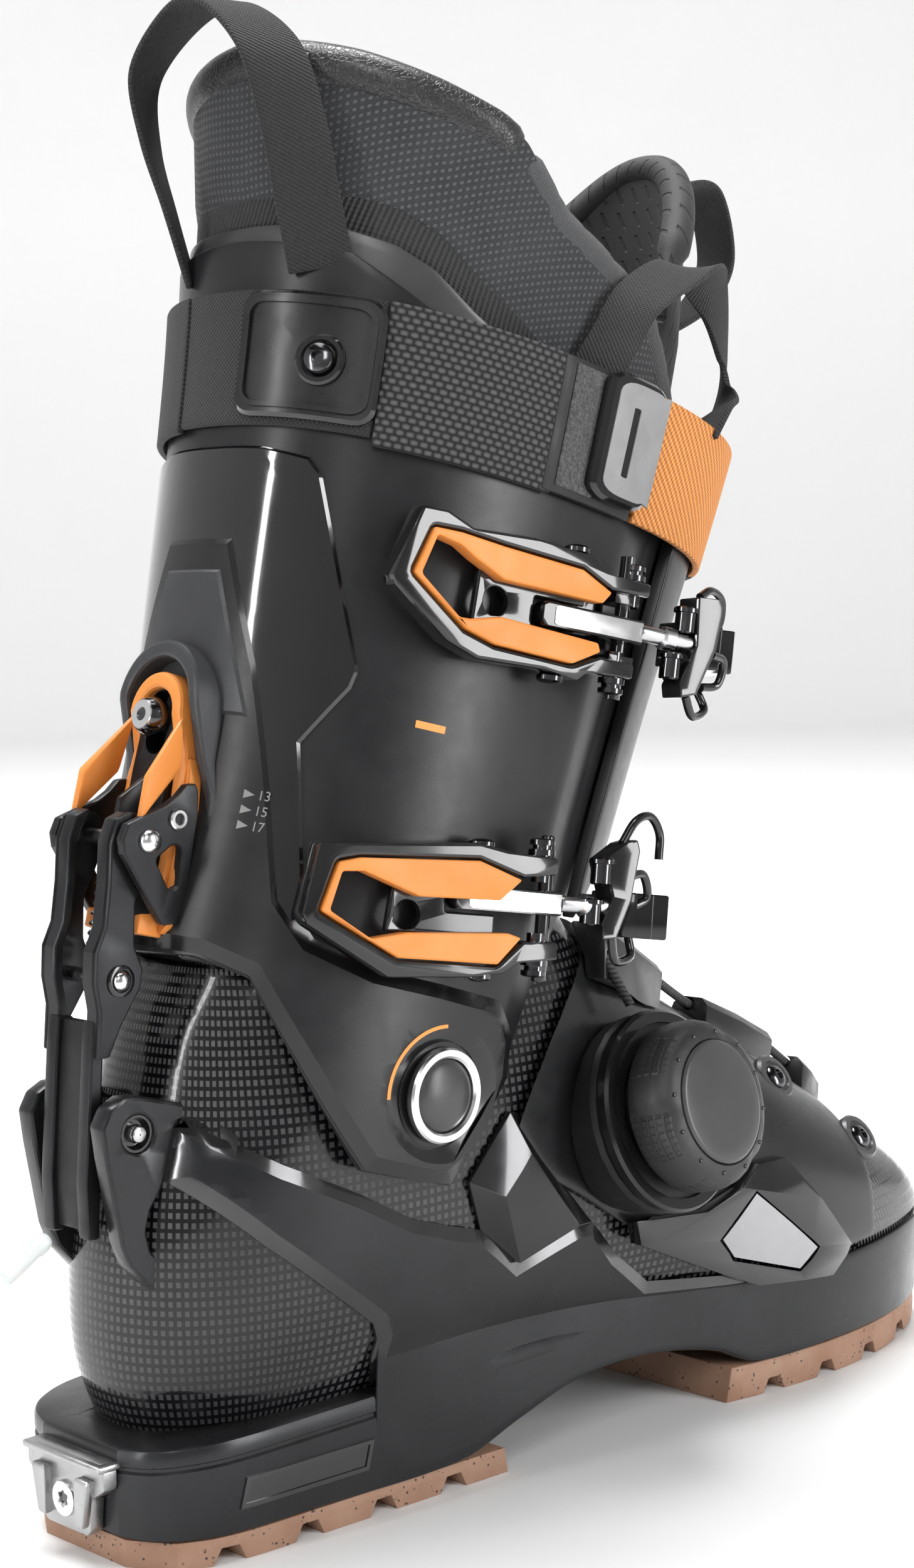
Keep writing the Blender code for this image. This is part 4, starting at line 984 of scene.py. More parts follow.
def make_heel_cheeks():
    """Cheeks behind the heel that carry the cross pin, and the web that ties each to its band."""
    for side, label in ((-1, "lateral"), (1, "medial")):
        def at(x, z, y, side=side):
            return Vector((x, side * y, z))

        recess = arc((7.6, 104), 4.6, 0, 345, 24)
        flat_part(f"heel_cheek_{label}", CHEEK, at, 11.9, 17.4, "lower_shell", M["exo"],
                  ["heel_bracket"], [recess], 0.9)
        cup = [(4.5, 12.5), (4.5, 16.6), (3.9, 16.6), (3.2, 14.6), (0.3, 14.4)]
        piece(f"pin_cup_{label}", loft(turned(cup, (7.6, 0, 104), (0, side, 0), 40)), "lower_shell",
              M["black_gloss"])
        dome = [(2.3, 13), (2.3, 16.2), (1.9, 17.2), (1.0, 17.8), (0.2, 18.0)]
        piece(f"cross_pin_end_{label}", loft(turned(dome, (7.6, 0, 104), (0, side, 0), 32)),
              "lower_shell", M["bright"])
        place = on_side(side)
        start = [at(x, z, y) for x, z in ((23.4, 108.4), (21.0, 101.7), (17.9, 97.2)) for y in (17.2, 13.5)]
        end = [place(x, z, off) for x, z in ((27, 102.4), (25.5, 95.0), (23.5, 88.5)) for off in (2.7, 0.4)]
        order = (0, 2, 4, 5, 3, 1)
        piece(f"cheek_web_{label}", loft([[start[k] for k in order], [end[k] for k in order]]),
              "lower_shell", M["exo"], round_off=0.4)


def make_skirt():
    """Flank of the frame below the bands, running down over the side of the sole."""
    for side, label in ((-1, "lateral"), (1, "medial")):
        place = on_side(side)
        high, low = [], []
        for x in spread(64, 290, 76):
            top = place(x, curve(SKIRT_TOP, 1, x), 1.6)
            fade = min(1.0, (x - 64) / 22, (292 - x) / 20)
            bottom = Vector((x, side * (curve(SOLE, 1, x) + 1.5 * fade - 0.6), curve(SOLE, 2, x) + 1.0))
            bend = Vector((x, (top.y * 0.35 + bottom.y * 0.65), bottom.z + (top.z - bottom.z) * 0.45))
            line = smooth_path([top, bend, bottom], 5)
            high.append(line)
            low.append([p - Vector((0, side * 1.0, 0)) for p in line])
        obj = slab_sheet(f"frame_skirt_{label}", high, low, 0.45, 2)
        finish_piece(obj, "lower_shell", [M["exo"]], (), 30)


COVER_EDGE = [(4.7, 101), (5.5, 105), (7, 107), (8, 104), (9, 95), (10, 87), (11, 80), (12, 76)]


def make_instep_flap():
    """Cover over the instep, down to the line where the gridded shell shows below it."""
    high, low = [], []
    for q in spread(4.7, 12, 74):
        reach = curve(COVER_EDGE, 1, q)
        angles = spread(-reach, reach, 71)
        high.append(shell_ring(angles, q, 2.7))
        low.append(shell_ring(angles, q, 0.3))
    obj = slab_sheet("flap_body", high, low, 0.7, 3)
    core = [[cuff_point(a, s, 0.6) for a in spread(0, 354, 60)] for s in spread(-40, 215, 40)]
    boolean(obj, helper("flap_trim", loft(core)))
    finish_piece(obj, "lower_shell", [M["flap"]], ["instep_flap"], 40)


# ------------------------------------------------------------------ sole
def sole_loop(inset, height):
    """Loop round the sole at an inset; height(x) gives its level."""
    xs = [302 * (0.5 - 0.5 * math.cos(math.pi * k / 90)) for k in range(91)]
    half = [(x, curve(SOLE, 1, x)) for x in xs]
    outline = [Vector((x, -w)) for x, w in half] + [Vector((x, w)) for x, w in half[::-1]]
    loop = []
    for k, p in enumerate(outline):
        ahead = (outline[(k + 1) % len(outline)] - outline[k - 1]).normalized()
        inward = Vector((-ahead.y, ahead.x))
        q = p + inward * inset
        loop.append(Vector((q.x, q.y, height(p.x))))
    return loop


def make_sole():
    def low(x):
        return curve(SOLE, 2, x)

    def top(x):
        return curve(SOLE, 3, x)

    profile = [(9.0, lambda x: low(x)), (1.6, lambda x: low(x)), (0.3, lambda x: low(x) + 0.5),
               (0.0, lambda x: low(x) + 1.8), (0.0, lambda x: top(x) - 6.0), (0.5, lambda x: top(x) - 5.4),
               (0.5, lambda x: top(x) - 4.6), (0.0, lambda x: top(x) - 4.2), (0.0, lambda x: top(x) - 1.2),
               (0.4, lambda x: top(x) - 0.4), (1.3, lambda x: top(x)), (9.0, lambda x: top(x) + 0.2)]
    rings = [sole_loop(inset, height) for inset, height in profile]
    piece("sole_body", loft(rings), "lower_shell", M["exo"], ["sole_base"], sharp=30)
    for node in ("tread_heel", "tread_forefoot"):
        rounded_node(node, M["gum"], 0.6, 2)
    make_heel_fitting()
    make_heel_recess()


def make_heel_fitting():
    """Cast fitting on the back of the heel: flanged top, tapering foot and its star screw."""
    def at(y, z, x):
        return Vector((x, y, z))

    body = [(-15.4, 19.4), (-15.4, 24.6), (-13.8, 26), (13.8, 26), (15.4, 24.6), (15.4, 19.4), (10.4, 16.4),
            (9.6, 8.4), (8.0, 6.8), (-8.0, 6.8), (-9.6, 8.4), (-10.4, 16.4)]
    flat_part("heel_fitting", body, at, -4.4, -0.2, "lower_shell", M["cast"], ["heel_tech_fitting"], (), 0.9)
    flange = [(-15.8, 24), (15.8, 24), (15.8, 25.8), (-15.8, 25.8)]
    flat_part("heel_fitting_lip", flange, at, -6.0, 2.0, "lower_shell", M["cast"], (), (), 0.7)
    for side in (-1, 1):
        cheek = [(side * 6.0, 21.5), (side * 11.6, 21.5), (side * 9.0, 9.2), (side * 6.0, 9.2)]
        flat_part(f"heel_fitting_cheek_{side}", cheek, at, -6.4, -4.0, "lower_shell", M["cast"], (), (), 0.8)
    star = []
    for k in range(12):
        radius = 2.3 if k % 2 == 0 else 1.5
        star.append((radius * math.sin(math.pi * k / 6), 14.6 + radius * math.cos(math.pi * k / 6)))
    seat = arc((0, 14.6), 4.4, 0, 345, 24)
    flat_part("heel_screw", seat, at, -5.4, -4.0, "lower_shell", M["bright"], (), [star], 0.3)
    flat_part("heel_screw_socket", star, at, -4.7, -4.2, "lower_shell", M["panel"], (), (), 0.0)


def make_heel_recess():
    """Shallow framed panel pressed into each side of the heel."""
    for side, label in ((-1, "lateral"), (1, "medial")):
        def on_flank(x, z, off, side=side):
            return Vector((x, side * (curve(SOLE, 1, x) + off), z))

        frame = [(22, 13), (24, 20.4), (63, 20.4), (61, 13)]
        field = [(23.4, 14.1), (25, 19.4), (61.6, 19.4), (60.2, 14.1)]
        plate(f"heel_frame_{label}", frame, on_flank, -0.6, 0.5, "lower_shell", [M["exo_edge"]], 0.0, 0.0,
              [field], 3.0)
        plate(f"heel_field_{label}", field, on_flank, -0.8, 0.15, "lower_shell", [M["panel"]], 0.0, 0.0,
              step=3.0)


# ------------------------------------------------------------------ cuff
CUFF_START, CUFF_END = 62, -338


def tuck(degrees):
    """How far the cuff's outer flap edge dives under the flap that closes over it."""
    return -4.3 * min(1.0, max(0.0, (-278 - degrees) / 14))


def make_cuff():
    angles = spread(CUFF_START, CUFF_END, 241)
    high, low = [], []
    for r in range(61):
        share = r / 60
        outer, inner = [], []
        for a in angles:
            bottom, top = edge(CUFF_BOTTOM, a), edge(CUFF_TOP, a)
            s = bottom + (top - bottom) * share
            outer.append(cuff_point(a, s, tuck(a)))
            inner.append(cuff_point(a, s, tuck(a) - CUFF_WALL))
        high.append(outer)
        low.append(inner)
    obj = slab_sheet("cuff_body", high, low, 0.7, 3)
    boolean(obj, helper("cuff_bore", loft(turned([(8.0, -60), (8.0, 60)], (PIVOT_X, 0, PIVOT_Z), (0, 1, 0)))))
    finish_piece(obj, "cuff", [M["cuff"]], ["cuff_shell"], 30)


def both_sides(half):
    """Outline from its outer half, mirrored at the back of the leg."""
    return half + [(360 - a, s) for a, s in half[::-1]]


WING_HALF = [(168.5, 127), (163, 111.5), (156.7, 95.2), (152.4, 80.5), (143.7, 52.5), (139.7, 40.7),
             (130.7, 32), (114.3, 27.5), (99.1, 26.8), (85.2, 25.5), (78.5, 17.5), (76.2, 6.5), (80.3, -5),
             (87.0, -21.2), (92, -21.8), (106.6, -20.4), (127.6, 3.4), (143.8, 20.6), (158, 23.8)]
PANEL_HALF = [(165, 148), (152.5, 146.2), (149, 142.5), (141, 118.7), (133.6, 97.2), (134.7, 92.6),
              (144.8, 77.6), (140, 57.6), (134.3, 36), (146, 28), (160, 28)]
RIDGE_HALF = [(172, 117), (166, 100), (159, 82)]


def pivot_circle(radius, count, centre=(0.0, 0.0)):
    """Circle about the cuff's pivot, in degrees round the cuff and height up it."""
    points = []
    for a in spread(0, 360 * (count - 1) / count, count):
        u = centre[0] + radius * math.cos(math.radians(a))
        s = centre[1] + radius * math.sin(math.radians(a))
        points.append((cuff_angle(u, s), s))
    return points


def make_cuff_plates():
    wing = both_sides(WING_HALF)
    hole = pivot_circle(13.2, 40)
    mirrored = [(360 - a, s) for a, s in hole]
    plate("spine_wing", wing, on_cuff, 0.1, 1.9, "cuff", [M["cuff"], M["wing_edge"]], 3.6, 1.6,
          holes=[hole, mirrored], step=3.0)
    plate("back_panel", both_sides(PANEL_HALF), on_cuff, 0.05, 1.3, "cuff", [M["panel"]], 0.8, 0.7,
          nodes=["backbone_panel"], step=3.0)
    plate("spine_ridge", both_sides(RIDGE_HALF), on_cuff, 1.7, 2.5, "cuff", [M["spine"]], 0.8, 0.6, step=3.0)


def print_on_cuff(name, text, t_left, s_low, height, material, off):
    """Raised print of a few numbers or signs, laid on the cuff's outer side."""
    curve_data = bpy.data.curves.new(name, 'FONT')
    curve_data.body = text
    curve_data.size = height
    curve_data.resolution_u = 3
    obj = bpy.data.objects.new(name, curve_data)
    mesh = bpy.data.meshes.new_from_object(obj)
    bpy.data.objects.remove(obj, do_unlink=True)
    bpy.data.curves.remove(curve_data)
    spot = cuff_point(t_left, s_low, off)
    step = (cuff_point(t_left - 1, s_low, off) - spot).length
    flat = [v.co.copy() for v in mesh.vertices]
    faces = [tuple(p.vertices) for p in mesh.polygons]
    bpy.data.meshes.remove(mesh)
    verts = [cuff_point(t_left - p.x / step, s_low + p.y, off) for p in flat]
    printed = mesh_of(name, verts, faces)
    tidy_normals(printed)
    finish_piece(add_object(name, printed), "cuff", [material])


def make_prints():
    """Lean scale beside the lock, a colour bar on the cuff and the arc round the pivot."""
    for number, s in (("13", 62.4), ("15", 58.6), ("17", 54.8)):
        print_on_cuff(f"scale_{number}", number, 152.6, s, 3.4, M["grey_print"], 2.0)
        tick = [(156.4, s + 2.2), (156.4, s), (153.4, s + 1.1)]
        plate(f"tick_{number}", tick, on_cuff, 1.7, 2.0, "cuff", [M["grey_print"]], 0.0, 0.0, step=1.5)
    bar = [(118.5, 88.6), (118.5, 86.8), (111.5, 86.8), (111.5, 88.6)]
    plate("colour_bar", bar, on_cuff, -0.1, 0.12, "cuff", [M["orange_print"]], 0.0, 0.0, step=1.5)
    arc_outline = []
    for radius, angles in ((17.6, spread(100, 190, 24)), (16.7, spread(190, 100, 24))):
        for a in angles:
            u, s = radius * math.cos(math.radians(a)), radius * math.sin(math.radians(a))
            arc_outline.append((cuff_angle(u, s), s))
    plate("pivot_arc", arc_outline, on_cuff, 1.6, 2.04, "cuff", [M["orange_print"]], 0.0, 0.0, step=2.0)


def make_pivots():
    for side, label in ((-1, "lateral"), (1, "medial")):
        base, axis = (PIVOT_X, side * 45.1, PIVOT_Z), (0, side, 0)
        pin = [(7.4, 0), (7.4, 5.0), (9.2, 5.0), (9.2, 5.8), (8.6, 6.6), (7.0, 7.4), (4.6, 8.0), (2.2, 8.3),
               (0.3, 8.4)]
        piece(f"pivot_cap_{label}", loft(turned(pin, base, axis, 72)), "lower_shell", M["cap"],
              [f"pivot_pin_{label}"])
        ring = [(9.3, 5.0), (11.9, 5.0), (11.9, 6.6), (11.4, 7.1), (9.9, 7.1), (9.3, 6.6)]
        rings = turned(ring, base, axis, 72)
        piece(f"pivot_ring_{label}", sleeve(rings), "lower_shell", M["bright"])


def sleeve(rings):
    """Ring-shaped body from the rings of its closed profile."""
    count = len(rings[0])
    verts = [p for ring in rings for p in ring]
    faces = []
    for r in range(len(rings)):
        q = (r + 1) % len(rings)
        for k in range(count):
            n = (k + 1) % count
            faces.append((r * count + k, r * count + n, q * count + n, q * count + k))
    return verts, faces


# ------------------------------------------------------------------ liner


def liner_off(degrees):
    """The liner stands back where the cuff's lower flap tucks under the upper one."""
    angle = (degrees + 180) % 360 - 180
    return curve([(-20, -5.2), (12, -8.9), (70, -8.9), (95, -5.2)], 1, angle)


def collar_off(degrees, s):
    rear = max(0.0, -math.cos(math.radians(degrees)))
    return liner_off(degrees) + rear * COLLAR_FLARE * max(0.0, s - 205) / 40


def make_liner_collar():
    angles = spread(40, 320, 181)
    high, low = [], []
    for r in range(49):
        share = r / 48
        outer, inner = [], []
        for a in angles:
            bottom, top = edge(LINER_BOTTOM, a), edge(LINER_TOP, a)
            s = bottom + (top - bottom) * share
            outer.append(cuff_point(a, s, collar_off(a, s)))
            inner.append(cuff_point(a, s, collar_off(a, s) - 7))
        high.append(outer)
        low.append(inner)
    obj = slab_sheet("collar_body", high, low, 2.6, 4)
    finish_piece(obj, "cuff", [M["liner"]], ["liner_collar"], 50)


def rolled_rim(name, start, end, wide, thick, count, material, crease=0.0):
    """Edge of the liner rolled over and sewn down, of oval section, with its ends drawn in."""
    angles = spread(start, end, count)
    path, outs = [], []
    for a in angles:
        s = edge(LINER_TOP, a)
        off = collar_off(a, s) - 3.5
        path.append(cuff_point(a, s, off))
        outs.append((cuff_point(a, s, off + 2) - path[-1]).normalized())
    rings, uvs, travelled = [], [], 0.0
    for k, (point, out) in enumerate(zip(path, outs)):
        ahead = (path[min(k + 1, count - 1)] - path[max(k - 1, 0)]).normalized()
        down = out.cross(ahead).normalized()
        if down.z > 0:
            down.negate()
        size = min(1.0, 0.5 + min(k, count - 1 - k) / 3) * (1.0 - crease * math.cos(math.pi * k / 7) ** 16)
        centre = point + down * wide * 0.55
        travelled += (point - path[max(k - 1, 0)]).length
        for i in range(24):
            a = 2 * math.pi * i / 24
            uvs.append((i * 1.1, travelled))
            rings.append(centre + (down * math.cos(a) * wide + out * math.sin(a) * thick) * size)
    rings = [rings[k * 24:k * 24 + 24] for k in range(count)]
    verts, faces = loft(rings)
    mesh = mesh_of(name, verts, faces, uvs)
    tidy_normals(mesh)
    finish_piece(add_object(name, mesh), "cuff", [material], (), 60)


def make_liner_trim():
    rolled_rim("liner_rim", 114.5, 245.5, 5.6, 4.9, 90, M["rim"])
    rolled_rim("liner_binding_outer", 113.8, 52, 4.9, 4.3, 60, M["knit"], 0.05)
    rolled_rim("liner_binding_inner", 246.2, 308, 4.9, 4.3, 60, M["knit"], 0.05)
    top = [(104, 187), (110, 192), (121, 199), (130, 206), (139, 210), (152, 212), (180, 212)]
    for name, off, drop, material in (("collar_band", -3.4, 0.0, "collar_band"),
                                      ("collar_lip", -1.9, 9.0, "cap")):
        high, low = [], []
        for a in spread(106, 254, 120):
            crest = edge(top, a) - drop
            outer = [cuff_point(a, s, off - 0.02 * (s - 180)) for s in spread(174, max(crest, 176), 10)]
            inner = [cuff_point(a, s, off - 1.6 - 0.02 * (s - 180)) for s in spread(174, max(crest, 176), 10)]
            high.append(outer)
            low.append(inner)
        obj = slab_sheet(name, high, low, 0.5, 2)
        finish_piece(obj, "cuff", [M[material]], (), 40)


def make_liner_tongue():
    angles = spread(-60, 60, 61)
    grids = []
    for off in (-17.8, -23):
        grid = []
        for r in range(61):
            line = []
            for a in angles:
                top = TONGUE_TOP - 46 * abs(a / 60) ** 2
                s = 100 + (top - 100) * r / 60
                line.append(cuff_point(a, s, off - 9 * max(0.0, s - 200) / 74 * math.cos(math.radians(a))))
            grid.append(line)
        grids.append(grid)
    obj = slab_sheet("tongue_body", grids[0], grids[1], 2.0, 4)
    finish_piece(obj, "cuff", [M["tongue"]], ["liner_tongue"], 50)
    crest = [grids[0][-1][k].lerp(grids[1][-1][k], 0.4) for k in range(2, 59)]
    rings = tube(crest, 4.6, 20)
    for k, ring in enumerate(rings):
        close = min(1.0, 0.4 + min(k, len(rings) - 1 - k) / 5)
        rings[k] = [crest[k] + (p - crest[k]) * close - Vector((0, 0, 1.5)) for p in ring]
    verts, faces = loft(rings)
    uvs = [(k * 2.1, i * 1.4) for k in range(len(rings)) for i in range(20)]
    mesh = mesh_of("tongue_roll", verts, faces, uvs)
    tidy_normals(mesh)
    finish_piece(add_object("tongue_roll", mesh), "cuff", [M["tongue"]], (), 60)


def ribbon(name, path, side, half_width, half_thick, body, material, nodes=()):
    """Flat webbing along a path; side(k) is the direction across it."""
    rows_high, rows_low = [], []
    count = len(path)
    for k, point in enumerate(path):
        ahead = (Vector(path[min(k + 1, count - 1)]) - Vector(path[max(k - 1, 0)])).normalized()
        across_it = Vector(side(k / (count - 1))).normalized()
        across_it = (across_it - ahead * across_it.dot(ahead)).normalized()
        out = ahead.cross(across_it).normalized()
        line = [Vector(point) + across_it * half_width * w for w in spread(-1, 1, 9)]
        rows_high.append([p + out * half_thick for p in line])
        rows_low.append([p - out * half_thick for p in line])
    obj = slab_sheet(name, rows_high, rows_low, half_thick * 0.7, 2)
    return finish_piece(obj, body, [material], nodes, 50)


REAR_LOOP = [leg(-65, -27, 192), leg(-73.5, -27, 208), leg(-79.5, -24.5, 224), leg(-86, -18, 242),
             leg(-90, -2, 254), leg(-90, 13, 253), leg(-89, 26, 240), leg(-83, 27, 224), leg(-76, 23, 208),
             leg(-66, 22, 192)]
LATERAL_LOOP = [leg(2, -58, 183), leg(6, -60, 194), leg(13, -60, 208), leg(32, -57, 222), leg(52, -49, 223),
                leg(67, -43, 211), leg(67, -45, 198), leg(60, -50, 191), leg(56, -50, 183)]
TONGUE_LOOP = [leg(70, 0, 258), leg(83, 0, 271), leg(96, 0, 273), leg(106, 0, 256), leg(100, 0, 240),
               leg(84, 0, 226), leg(66.5, 0, 214)]


def make_loops():
    ribbon("rear_loop", smooth_path(REAR_LOOP, 10), lambda f: (0.75, -0.72 * math.cos(math.pi * f), 0),
           8.0, 0.8, "cuff", M["webbing"], ["pull_loop_rear"])
    ribbon("outer_loop", smooth_path(LATERAL_LOOP, 10), lambda f: (0.75 - 0.5 * f, 1.5 * f - 0.66, 0),
           6.5, 0.8, "cuff", M["webbing"], ["pull_loop_lateral"])
    ribbon("tongue_loop", smooth_path(TONGUE_LOOP, 10), lambda f: (0, 1, 0), 7.0, 0.8, "cuff", M["webbing"])


def make_liner_foot():
    rounded_node("liner_foot", M["liner_plain"], 2.0, 3, 20)


# ------------------------------------------------------------------ power strap
def cuff_band(name, t_range, s_range, low, high, material, nodes=(), round_off=0.4, rows=12):
    """Band lying on the cuff between two angles and two heights."""
    columns = max(6, int(abs(t_range[1] - t_range[0]) / 1.5))
    angles = spread(t_range[0], t_range[1], columns)
    outer = [[cuff_point(a, s, high) for a in angles] for s in spread(s_range[0], s_range[1], rows)]
    inner = [[cuff_point(a, s, low) for a in angles] for s in spread(s_range[0], s_range[1], rows)]
    obj = slab_sheet(name, outer, inner, round_off, 2)
    return finish_piece(obj, "cuff", [material], nodes, 45)


def rounded_box(left, right, low, high, radius, wide=1.0):
    """Rounded rectangle; wide scales the corners along the first axis."""
    points = []
    for cx, cy, start in ((right, high, 0), (left, high, 90), (left, low, 180), (right, low, 270)):
        sx = 1 if start in (0, 270) else -1
        sy = 1 if start in (0, 90) else -1
        for x, y in arc((0, 0), radius, start, start + 90, 6):
            points.append((cx + (x - sx * radius) * wide, cy + y - sy * radius))
    return points


def make_power_strap():
    cuff_band("strap_rear", (190, 139), (153, 186), 0.6, 2.2, M["strap"], rows=12)
    plate("strap_plate", rounded_box(138.5, 173.0, 154.6, 185.2, 4.5, 1.1), on_cuff, 2.2, 4.4, "cuff",
          [M["flap"], M["black_gloss"]], 0.9, 0.9, step=3.0, nodes=["strap_anchor_lateral"])
    rim = rounded_box(140.2, 171.0, 156.6, 183.2, 4.0, 1.1)
    plate("strap_plate_rim", rim, on_cuff, 4.3, 5.3, "cuff", [M["flap"]], 0.0, 0.0,
          [rounded_box(141.4, 169.8, 157.8, 182.0, 3.2, 1.1)], 3.0)
    centre, out = cuff_point(152, 169, 0), (cuff_point(152, 169, 5) - cuff_point(152, 169, 0)).normalized()
    ring = [(4.2, 4.2), (6.4, 4.2), (6.4, 4.9), (5.8, 5.4), (4.8, 5.4), (4.2, 4.9)]
    piece("strap_screw_washer", sleeve(turned(ring, centre, out, 48)), "cuff", M["black_gloss"])
    dome = [(4.1, 4.2), (4.1, 5.4), (3.5, 6.6), (2.3, 7.2), (1.5, 7.3), (1.5, 6.0), (0.2, 6.0)]
    piece("strap_screw", loft(turned(dome, centre, out, 48)), "cuff", M["chrome"])
    cuff_band("strap_stretch", (138.5, 100), (151, 186), 1.0, 2.8, M["elastic"], ["strap_elastic"])
    cuff_band("strap_patch_edge", (102, 84), (151.5, 186), 1.0, 3.0, M["black_matte"])
    cuff_band("strap_patch", (99.5, 92), (153.5, 184.5), 2.9, 3.5, M["velcro"])
    plate("strap_frame", rounded_box(83.0, 94.0, 153.5, 186.5, 4.0, 0.9), on_cuff, 3.2, 6.4, "cuff",
          [M["black_gloss"]], 0.9, 0.9, step=3.0, nodes=["strap_buckle_plate"])
    edge_points = rounded_box(83.2, 92.2, 155.5, 184.5, 3.4, 0.9)
    face = [(83.0, 155.5), (83.0, 184.5)] + [(a, b) for a, b in edge_points
                                             if a > 84]
    face = sorted(face, key=lambda p: math.atan2(p[1] - 170, (p[0] - 87.5) * 3))
    plate("strap_frame_face", face, on_cuff, 6.2, 6.7, "cuff", [M["cap_bright"]], 0.0, 0.0,
          [rounded_box(88.6, 89.7, 160.5, 178.5, 0.4, 0.8)], 3.0)
    cuff_band("strap_frame_slot", (89.8, 88.5), (160.3, 178.7), 6.2, 6.35, M["panel"], rows=6)
    cuff_band("strap_orange", (82.8, 30), (152, 186), 1.0, 2.8, M["orange_web"], ["strap_webbing"])
    cuff_band("strap_far", (29.5, -170), (152, 186), 1.0, 2.8, M["strap"])


# ------------------------------------------------------------------ hardware
def make_hardware():
    finishes = {
        "heel_cross_pin": "steel",
        "toe_insert_lateral": "steel", "toe_insert_medial": "steel", "boot_board": "black_matte",
        "pull_tab": "tab",
        "dial_guard": "black_gloss", "lace_guide_rear": "flap", "lace_guide_middle": "flap",
        "lace_guide_front": "flap", "lace_guide_medial": "flap",
    }
    for node, finish in finishes.items():
        rounded_node(node, M[finish])
    NODES["lever_spring"].data.materials.clear()
    NODES["lever_spring"].data.materials.append(M["steel"])


# ------------------------------------------------------------------ buckles
BUCKLES = {
    "upper": {
        "span": (Vector((60.0, -48.0, 236.0)), Vector((134.0, -63.0, 221.0))),
        "frame": [(5.3, 17.1), (-0.9, -1), (0.4, -3.1), (16, -14), (25.5, -17), (46, -16.4), (56, -17.5),
                  (59, -14.9), (73, -14.5), (73, -10.6), (62, -10.3), (53.8, -14.1), (30, -13.2),
                  (20.8, -10.8), (4.1, 0.6), (8.7, 12.8), (17, 13), (30, 11.9), (54, 10.6), (63.5, 6.6),
                  (75.6, 6.8), (75.6, 10.2), (62, 10.6), (58.4, 14.1), (38.5, 15.4), (20.5, 14.4),
                  (12.4, 17.3)],
        "orange": [(9, 12.4), (4.6, 0.6), (21, -10.3), (30, -12.7), (53.6, -13.6), (61.7, -9.4),
                   (60.7, -7.2), (30.9, -5.7), (22, -7.7), (19, -7.8), (6.9, 0.7), (10.2, 10.6), (16.9, 9.4),
                   (22, 6.8), (30.3, 3.3), (60.8, 2.8), (63.3, 5.9), (53.8, 10.1), (30, 11.4), (17, 12.5)],
        "tray": [(25.6, 5.6), (58, 4.6), (58, 1.6), (42.6, 1.6), (42.6, -6.2), (58, -6.2), (58, -8.6),
                 (25, -7.2)],
        "eye": (31.2, -1.6),
        "block": (43.5, 75.0, -5.4, 0.8), "rivets": ((54, 15.2, 1), (50, -17.6, -1)),
        "pins": ((72.0, 10.4, 1), (69.0, -14.6, -1)), "rod": ((74, -2.2), (90, -2.4)),
        "hook": [(89.5, 9.5), (97.5, 10.2), (99, 7.8), (97.4, -3), (92.5, -15.5), (87.5, -17),
                 (86.6, -13.5), (90.5, -3)],
        "posts": ((88, 3), (84.7, -9.4)),
        "wires": [[(92, 10, 2), (97, 12.6, 0), (102.3, 11, -2), (103.2, 5, -3), (100, 1, -3)],
                  [(98, -4, 2), (103.5, -5, 0), (103.2, -11, -1), (98, -12.5, -1)],
                  [(90, -16, 3), (94.5, -20.6, 1), (100.5, -18, -2), (99, -13, -4)]],
    },
    "lower": {
        "span": (Vector((37.0, -42.0, 163.0)), Vector((103.0, -60.0, 153.0))),
        "frame": [(1.1, 10.1), (-2, -7), (-0.9, -9.6), (21.7, -20.9), (44, -19.8), (54, -18.1), (57.8, -15.6),
                  (69, -14.2), (68.6, -9.8), (58.6, -10), (51.4, -16.8), (24, -16.6), (2.0, -6.4),
                  (5.9, 6.2), (12, 7.6), (44.7, 9.2), (57.6, 5.4), (67.6, 6.8), (67.4, 11.0), (54.5, 11.5),
                  (44.7, 13.1), (9.8, 10.6)],
        "orange": [(6.4, 5.7), (2.5, -6.1), (24, -16.1), (51.6, -16.2), (57.8, -9.4), (54, -8.4),
                   (25.9, -9.9), (16.3, -11.9), (4.9, -5.9), (7.4, 3.5), (13.3, 3.9), (28.6, -1.1),
                   (51.2, -0.6), (57, 4.8), (44.7, 8.7), (12, 7.1)],
        "tray": [(23, 0.6), (38, 0), (38, -4.2), (52, -4.2), (52, -9.6), (22, -10)], "eye": (27.5, -5.6),
        "block": (39.0, 69.5, -3.4, 2.7), "rivets": ((47, 12.8, 1), (48.5, -19.2, -1)),
        "pins": ((64.4, 11.2, 1), (64.4, -14.4, -1)), "rod": ((69, -0.2), (83, -0.2)),
        "hook": [(79.5, 11.5), (85.6, 16.2), (89.2, 17.4), (90.2, 14.5), (88.5, 2), (84.8, -8), (80.5, -8.6),
                 (80.2, -4.5), (82.8, 2)],
        "posts": ((80.3, 8.4), (77.9, -1.8)),
        "wires": [[(86, 16, 2), (91, 22, 0), (96.6, 23.7, -2), (100.5, 19.5, -3), (100.8, 13, -3)],
                  [(89, 8, 2), (94.4, 8.6, 0), (96.6, 3, -1), (92, 0, -1)],
                  [(84, -7, 3), (87, -13.4, 1), (93.4, -12, -2), (93.5, -6.5, -4)]],
    },
}


